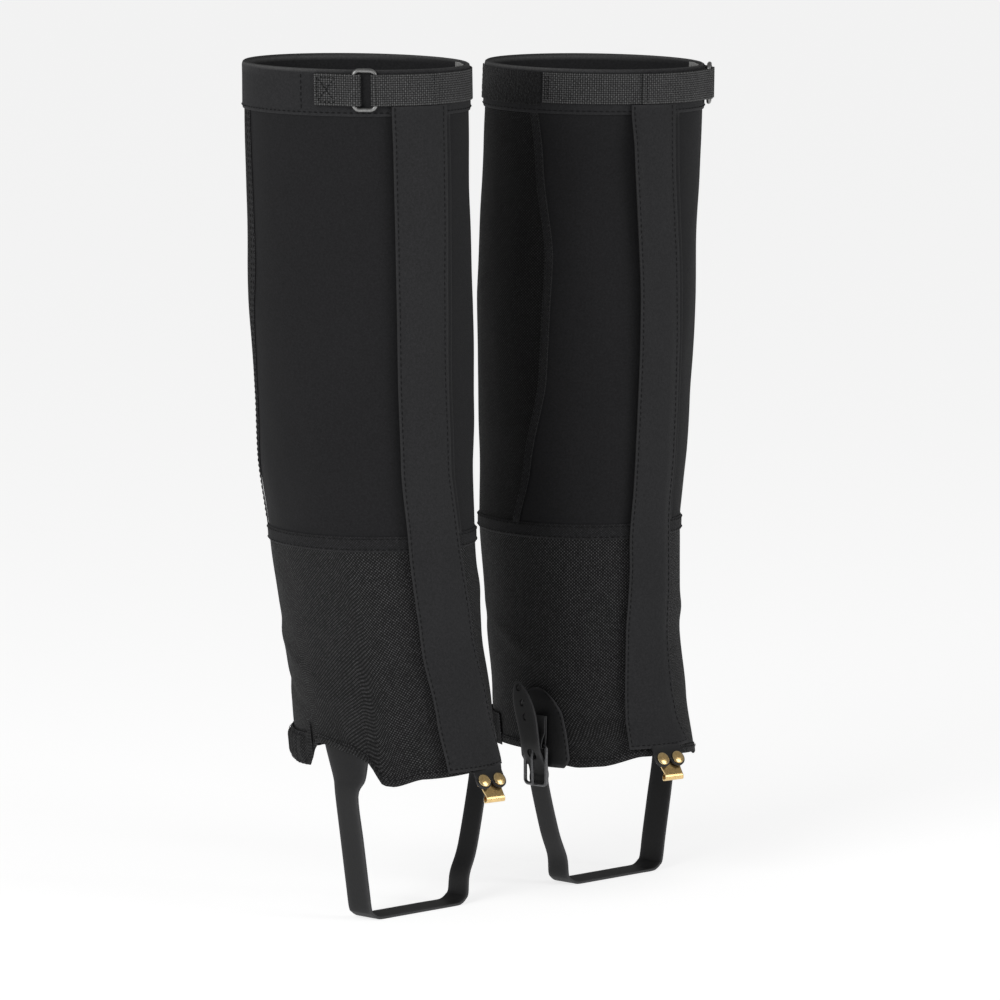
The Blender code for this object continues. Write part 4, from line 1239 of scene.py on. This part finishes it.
def bar_origin(side):
    touch = plain_skin(side, -WAYS[side] * 83.0, BAR_DEPTH, BAR_LAYER)
    return Vector((touch.x, STRAP_Y, touch.z))


def from_bar(side, out, forward, up):
    return bar_origin(side) + Vector((-WAYS[side] * out, forward, up))


def strap_rows(side):
    """The under-foot strap from its pointed end, through the buckle and under the arch, to the
    wide fan inside the outer hem: the middle and the half width of each row."""
    way = WAYS[side]
    centre = way * (RIM_SPREAD - table(INWARD_LEAN, HEM_DEPTH))
    bar = bar_origin(side)
    inner = (bar.x - centre) * way
    line = [(inner - out, bar.z + up) for up, out in STRAP_END_LINE]
    line += [(-0.0520, 0.036), (-0.0450, 0.0190)]
    line += [(-0.034 + 0.0105 * math.cos(math.radians(a)), 0.0115 + 0.0105 * math.sin(math.radians(a)))
             for a in (205, 226.7, 248.3, 270)]
    line += [(x, 0.001) for x in (-0.022, -0.008, 0.008, 0.022)]
    line += [(0.034 + 0.0105 * math.cos(math.radians(a)), 0.0115 + 0.0105 * math.sin(math.radians(a)))
             for a in (270, 291.7, 313.3, 335)]
    fan = plain_skin(side, way * FAN_ANGLE, FAN_BOTTOM, FAN_LAYER)
    outer = (fan.x - centre) * way
    line += [(0.0460, 0.022), ((0.0460 + outer) / 2, (0.022 + fan.z) / 2), (outer, fan.z)]
    rise = STRAP_END_LINE[0][0]
    middle = [Vector((centre + way * x, STRAP_Y + TIP_LEAN * max(0.0, (z - bar.z) / rise) ** 1.2,
                      max(z, 0.001))) for x, z in line]
    half = [0.0092, 0.0092, 0.0090, 0.0084, 0.0080] + [0.0080] * 5
    half += [lerp(0.0082, 0.0100, min(1.0, index / 6)) for index in range(len(line) - 10)]
    for level in (0.448, 0.437, 0.425, 0.412):
        middle.append(plain_skin(side, way * FAN_ANGLE, level, FAN_LAYER))
        half.append(lerp(0.021, 0.0115, ((level - 0.412) / 0.047) ** 0.8))
    return middle, half


def make_foot_strap(side):
    """The strap and the fan it hangs from, in one piece that bends inside the outer hem."""
    way = WAYS[side]
    middle, half = strap_rows(side)
    between = 5
    path = [Vector(spot) for spot in smooth_path(middle, between)]
    widths = [value[0] for value in smooth_path([(reach,) for reach in half], between)]
    travelled = [0.0]
    for low, high in zip(path, path[1:]):
        travelled.append(travelled[-1] + (high - low).length)
    top_level = RIM_HEIGHT[side] - FAN_BOTTOM
    total = len(path) - 1

    def place(across, down):
        row = round(down * total)
        point = path[row]
        # leaf-shaped tip
        tip = min(1.0, travelled[row] / 0.024)
        reach = widths[row] * max(0.16, (1.0 - (1.0 - tip) ** 2.2) ** 0.62)
        off = (across - 0.5) * 2.0 * reach
        spot = point + Vector((0.0, off, 0.0))
        if point.z > top_level and row > total // 2:
            share = ramp(point.z, top_level, top_level + 0.03)
            depth = RIM_HEIGHT[side] - point.z
            turn = way * FAN_ANGLE + way * math.degrees(off / 0.064)
            curved = plain_skin(side, turn, depth, FAN_LAYER)
            spot = spot.lerp(Vector((curved.x, curved.y, point.z)), share)
            spot.z = point.z
        return spot

    item = cloth(f"{side}_foot_strap_rubber", 12, total, place, RUBBER, rub=0.0014)
    holes = []
    for up, radius in HOLES:
        at = min(range(total // 2), key=lambda row: abs(path[row].z - bar_origin(side).z - up))
        holes.append(drill_hole(tuple(path[at]), radius))
    join_solids(item, holes, "DIFFERENCE")
    outer = path[-1]
    bend = (f"{side}_sleeve", f"{side}_foot_strap",
            Vector((outer.x, STRAP_Y, RIM_HEIGHT[side] - 0.435)),
            Vector((outer.x - way * 0.030, STRAP_Y, RIM_HEIGHT[side] - 0.465)))
    finish_piece(item, None, "rubber", [f"{side}_underfoot_strap", f"{side}_outer_anchor"],
                 blended=bend)


def drill_hole(place, radius):
    deselect()
    bpy.ops.mesh.primitive_cylinder_add(vertices=24, radius=radius, depth=0.008, location=place)
    item = bpy.context.object
    bpy.ops.object.mode_set(mode="EDIT")
    bpy.ops.mesh.select_all(action="SELECT")
    bpy.ops.transform.rotate(value=math.pi / 2, orient_axis="Y", center_override=tuple(place))
    bpy.ops.object.mode_set(mode="OBJECT")
    return item


def make_buckle(side):
    """A black frame, its prong, and the loop that holds it to the sleeve."""
    wide = FRAME_WIDTH / 2 - FRAME_WIRE
    spots = [from_bar(side, 0.0, y, z) for y, z in
             ((-wide, -FRAME_DROP), (wide, -FRAME_DROP), (wide, 0.0), (-wide, 0.0))]
    item = bar_through(f"{side}_frame", spots, FRAME_WIRE, True, corner=0.0028, segments=5)
    finish_piece(item, f"{side}_foot_strap", "buckle_metal", [f"{side}_buckle_frame"])
    eye = FRAME_WIRE + 0.0004 + PRONG_WIRE
    spots = [from_bar(side, eye * math.cos(math.radians(a)), 0.0, eye * math.sin(math.radians(a)))
             for a in (240, 200, 160, 120, 80, 40, 0)]
    spots += [from_bar(side, out, 0.0, up) for out, up in
              ((0.0026, -0.0030), (0.0034, -0.009), (0.0030, -0.018), (0.0026, -0.0268))]
    spots = smooth_path(spots, 3)
    item = bar_through(f"{side}_prong_bar", spots, PRONG_WIRE, False)
    finish_piece(item, f"{side}_prong", "buckle_metal", [f"{side}_buckle_prong"])

    radius = FRAME_WIRE + 0.0004 + 0.0004
    path = [(-0.0028, 0.019), (-0.0026, 0.008), (-0.0024, 0.004)]
    path += [(-radius * math.cos(math.radians(a)), -radius * math.sin(math.radians(a)))
             for a in range(0, 181, 20)]
    path += [(0.0010, 0.004), (-0.0012, 0.008), (-0.0015, 0.019)]

    def place(across, down):
        out, up = path[round(down * (len(path) - 1))]
        return from_bar(side, out, (across - 0.5) * LOOP_WIDTH, up)

    item = cloth(f"{side}_loop_rubber", 8, len(path) - 1, place, 0.0008, rub=0.0010)
    slot_hole = block(0.012, 0.0034, 0.0088, 0.0, 0.0, 0.0)
    slot_hole = settle(slot_hole, Matrix.Translation(bar_origin(side)))
    join_solids(item, [slot_hole], "DIFFERENCE")
    finish_piece(item, f"{side}_foot_strap", "rubber", [f"{side}_buckle_loop"])


PATCH_TOP, PATCH_BOTTOM = 0.400, 0.4510
PATCH_ANGLE, PATCH_REACH = 80.0, 15.5


def make_patch(side):
    """The rounded reinforcement on the inner side, with a stitched rim."""
    way = WAYS[side]

    def reach(depth):
        share = (depth - PATCH_TOP) / (0.4345 - PATCH_TOP)
        round_off = 1.0 - 0.22 * ramp(depth, PATCH_BOTTOM - 0.007, PATCH_BOTTOM) ** 2
        return PATCH_REACH * round_off * (1.0 - (1.0 - min(1.0, max(0.0, share))) ** 2.6) ** 0.55

    def place(across, down):
        depth = lerp(PATCH_TOP, PATCH_BOTTOM, down ** 1.4)
        angle = -way * PATCH_ANGLE + (across - 0.5) * 2.0 * max(reach(depth), 0.6)
        return skin(side, angle, depth, 0.0029)

    item = cloth(f"{side}_patch_rubber", 24, 26, place, 0.0009, rub=0.0012)
    finish_piece(item, f"{side}_sleeve", "rubber", [f"{side}_side_patch"])
    depths = [lerp(PATCH_TOP + 0.003, PATCH_BOTTOM - 0.002, index / 24) for index in range(25)]
    rows = [seam_line(side, 0.0034, [(-way * PATCH_ANGLE + hand * max(reach(depth) - 1.6, 0.0), depth)
                                     for depth in depths]) for hand in (-1, 1)]
    stitches(f"{side}_patch_stitches", rows, f"{side}_sleeve")


# ---------------------------------------------------------------- both gaiters

for side in WAYS:
    made = make_sleeve(side)
    make_band(side)
    make_heel(side)
    make_flap(side)
    make_straps(side)
    hook_place = tab_frame(side)
    make_tab(side, hook_place)
    make_hook(side, hook_place)
    make_rivets(side, hook_place)
    make_patch(side)
    make_buckle(side)
    make_foot_strap(side)

# ---------------------------------------------------------------- floor, light and camera

deselect()
bpy.ops.mesh.primitive_plane_add(size=80.0, location=(0.0, 0.0, 0.0))
floor = bpy.context.object
floor.name = "floor"
paper, _, paper_shader = start_material("pale paper")
set_values(paper_shader, {"Base Color": (0.55, 0.55, 0.55, 1.0), "Roughness": 0.95,
                          "Specular IOR Level": 0.0, "Emission Color": (1.0, 1.0, 1.0, 1.0),
                          "Emission Strength": 0.74})
floor.data.materials.append(paper)

world = bpy.data.worlds.new("studio")
world.use_nodes = True
sky = world.node_tree
sky.nodes["Background"].inputs["Color"].default_value = (1.0, 1.0, 1.0, 1.0)
seen = sky.nodes.new("ShaderNodeLightPath")
strength = plus(sky, times(sky, seen.outputs["Is Camera Ray"], 0.73), 0.27)
sky.links.new(strength, sky.nodes["Background"].inputs["Strength"])
bpy.context.scene.world = world
bpy.context.scene.view_settings.view_transform = "Standard"


def soft_light(name, place, aim, size, watts):
    lamp = bpy.data.lights.new(name, "AREA")
    lamp.shape = "SQUARE"
    lamp.size = size
    lamp.energy = watts
    item = bpy.data.objects.new(name, lamp)
    bpy.context.scene.collection.objects.link(item)
    item.location = place
    item.rotation_euler = (Vector(aim) - Vector(place)).to_track_quat("-Z", "Y").to_euler()


soft_light("key", (-2.3, -0.5, 1.3), (-0.1, 0.0, 0.3), 1.2, 28.0)
soft_light("front", (0.8, -2.4, 1.0), (0.0, 0.0, 0.25), 1.3, 17.0)

# the eye looks along +X and +Y, a little downwards
AZIMUTH, PITCH, LENS = math.radians(45.0), math.radians(7.0), 251.0
EYE_DISTANCE, PIXEL_SHARE = 4.39, LENS / 36.0
ahead = Vector((math.cos(PITCH) * math.sin(AZIMUTH), math.cos(PITCH) * math.cos(AZIMUTH),
                -math.sin(PITCH)))
across = Vector((math.cos(AZIMUTH), -math.sin(AZIMUTH), 0.0))
upward = across.cross(ahead)
RIM_ACROSS, RIM_ABOVE = -0.144, 0.4365
scale = EYE_DISTANCE / PIXEL_SHARE
eye = (Vector((-RIM_SPREAD, 0.0, RIM_HEIGHT["right"])) - ahead * EYE_DISTANCE
       - across * RIM_ACROSS * scale - upward * RIM_ABOVE * scale)
camera_data = bpy.data.cameras.new("camera")
camera_data.lens = LENS
camera_data.sensor_width = 36.0
camera_data.clip_end = 60.0
camera = bpy.data.objects.new("camera", camera_data)
bpy.context.scene.collection.objects.link(camera)
camera.location = eye
camera.rotation_euler = ahead.to_track_quat("-Z", "Y").to_euler()
bpy.context.scene.camera = camera
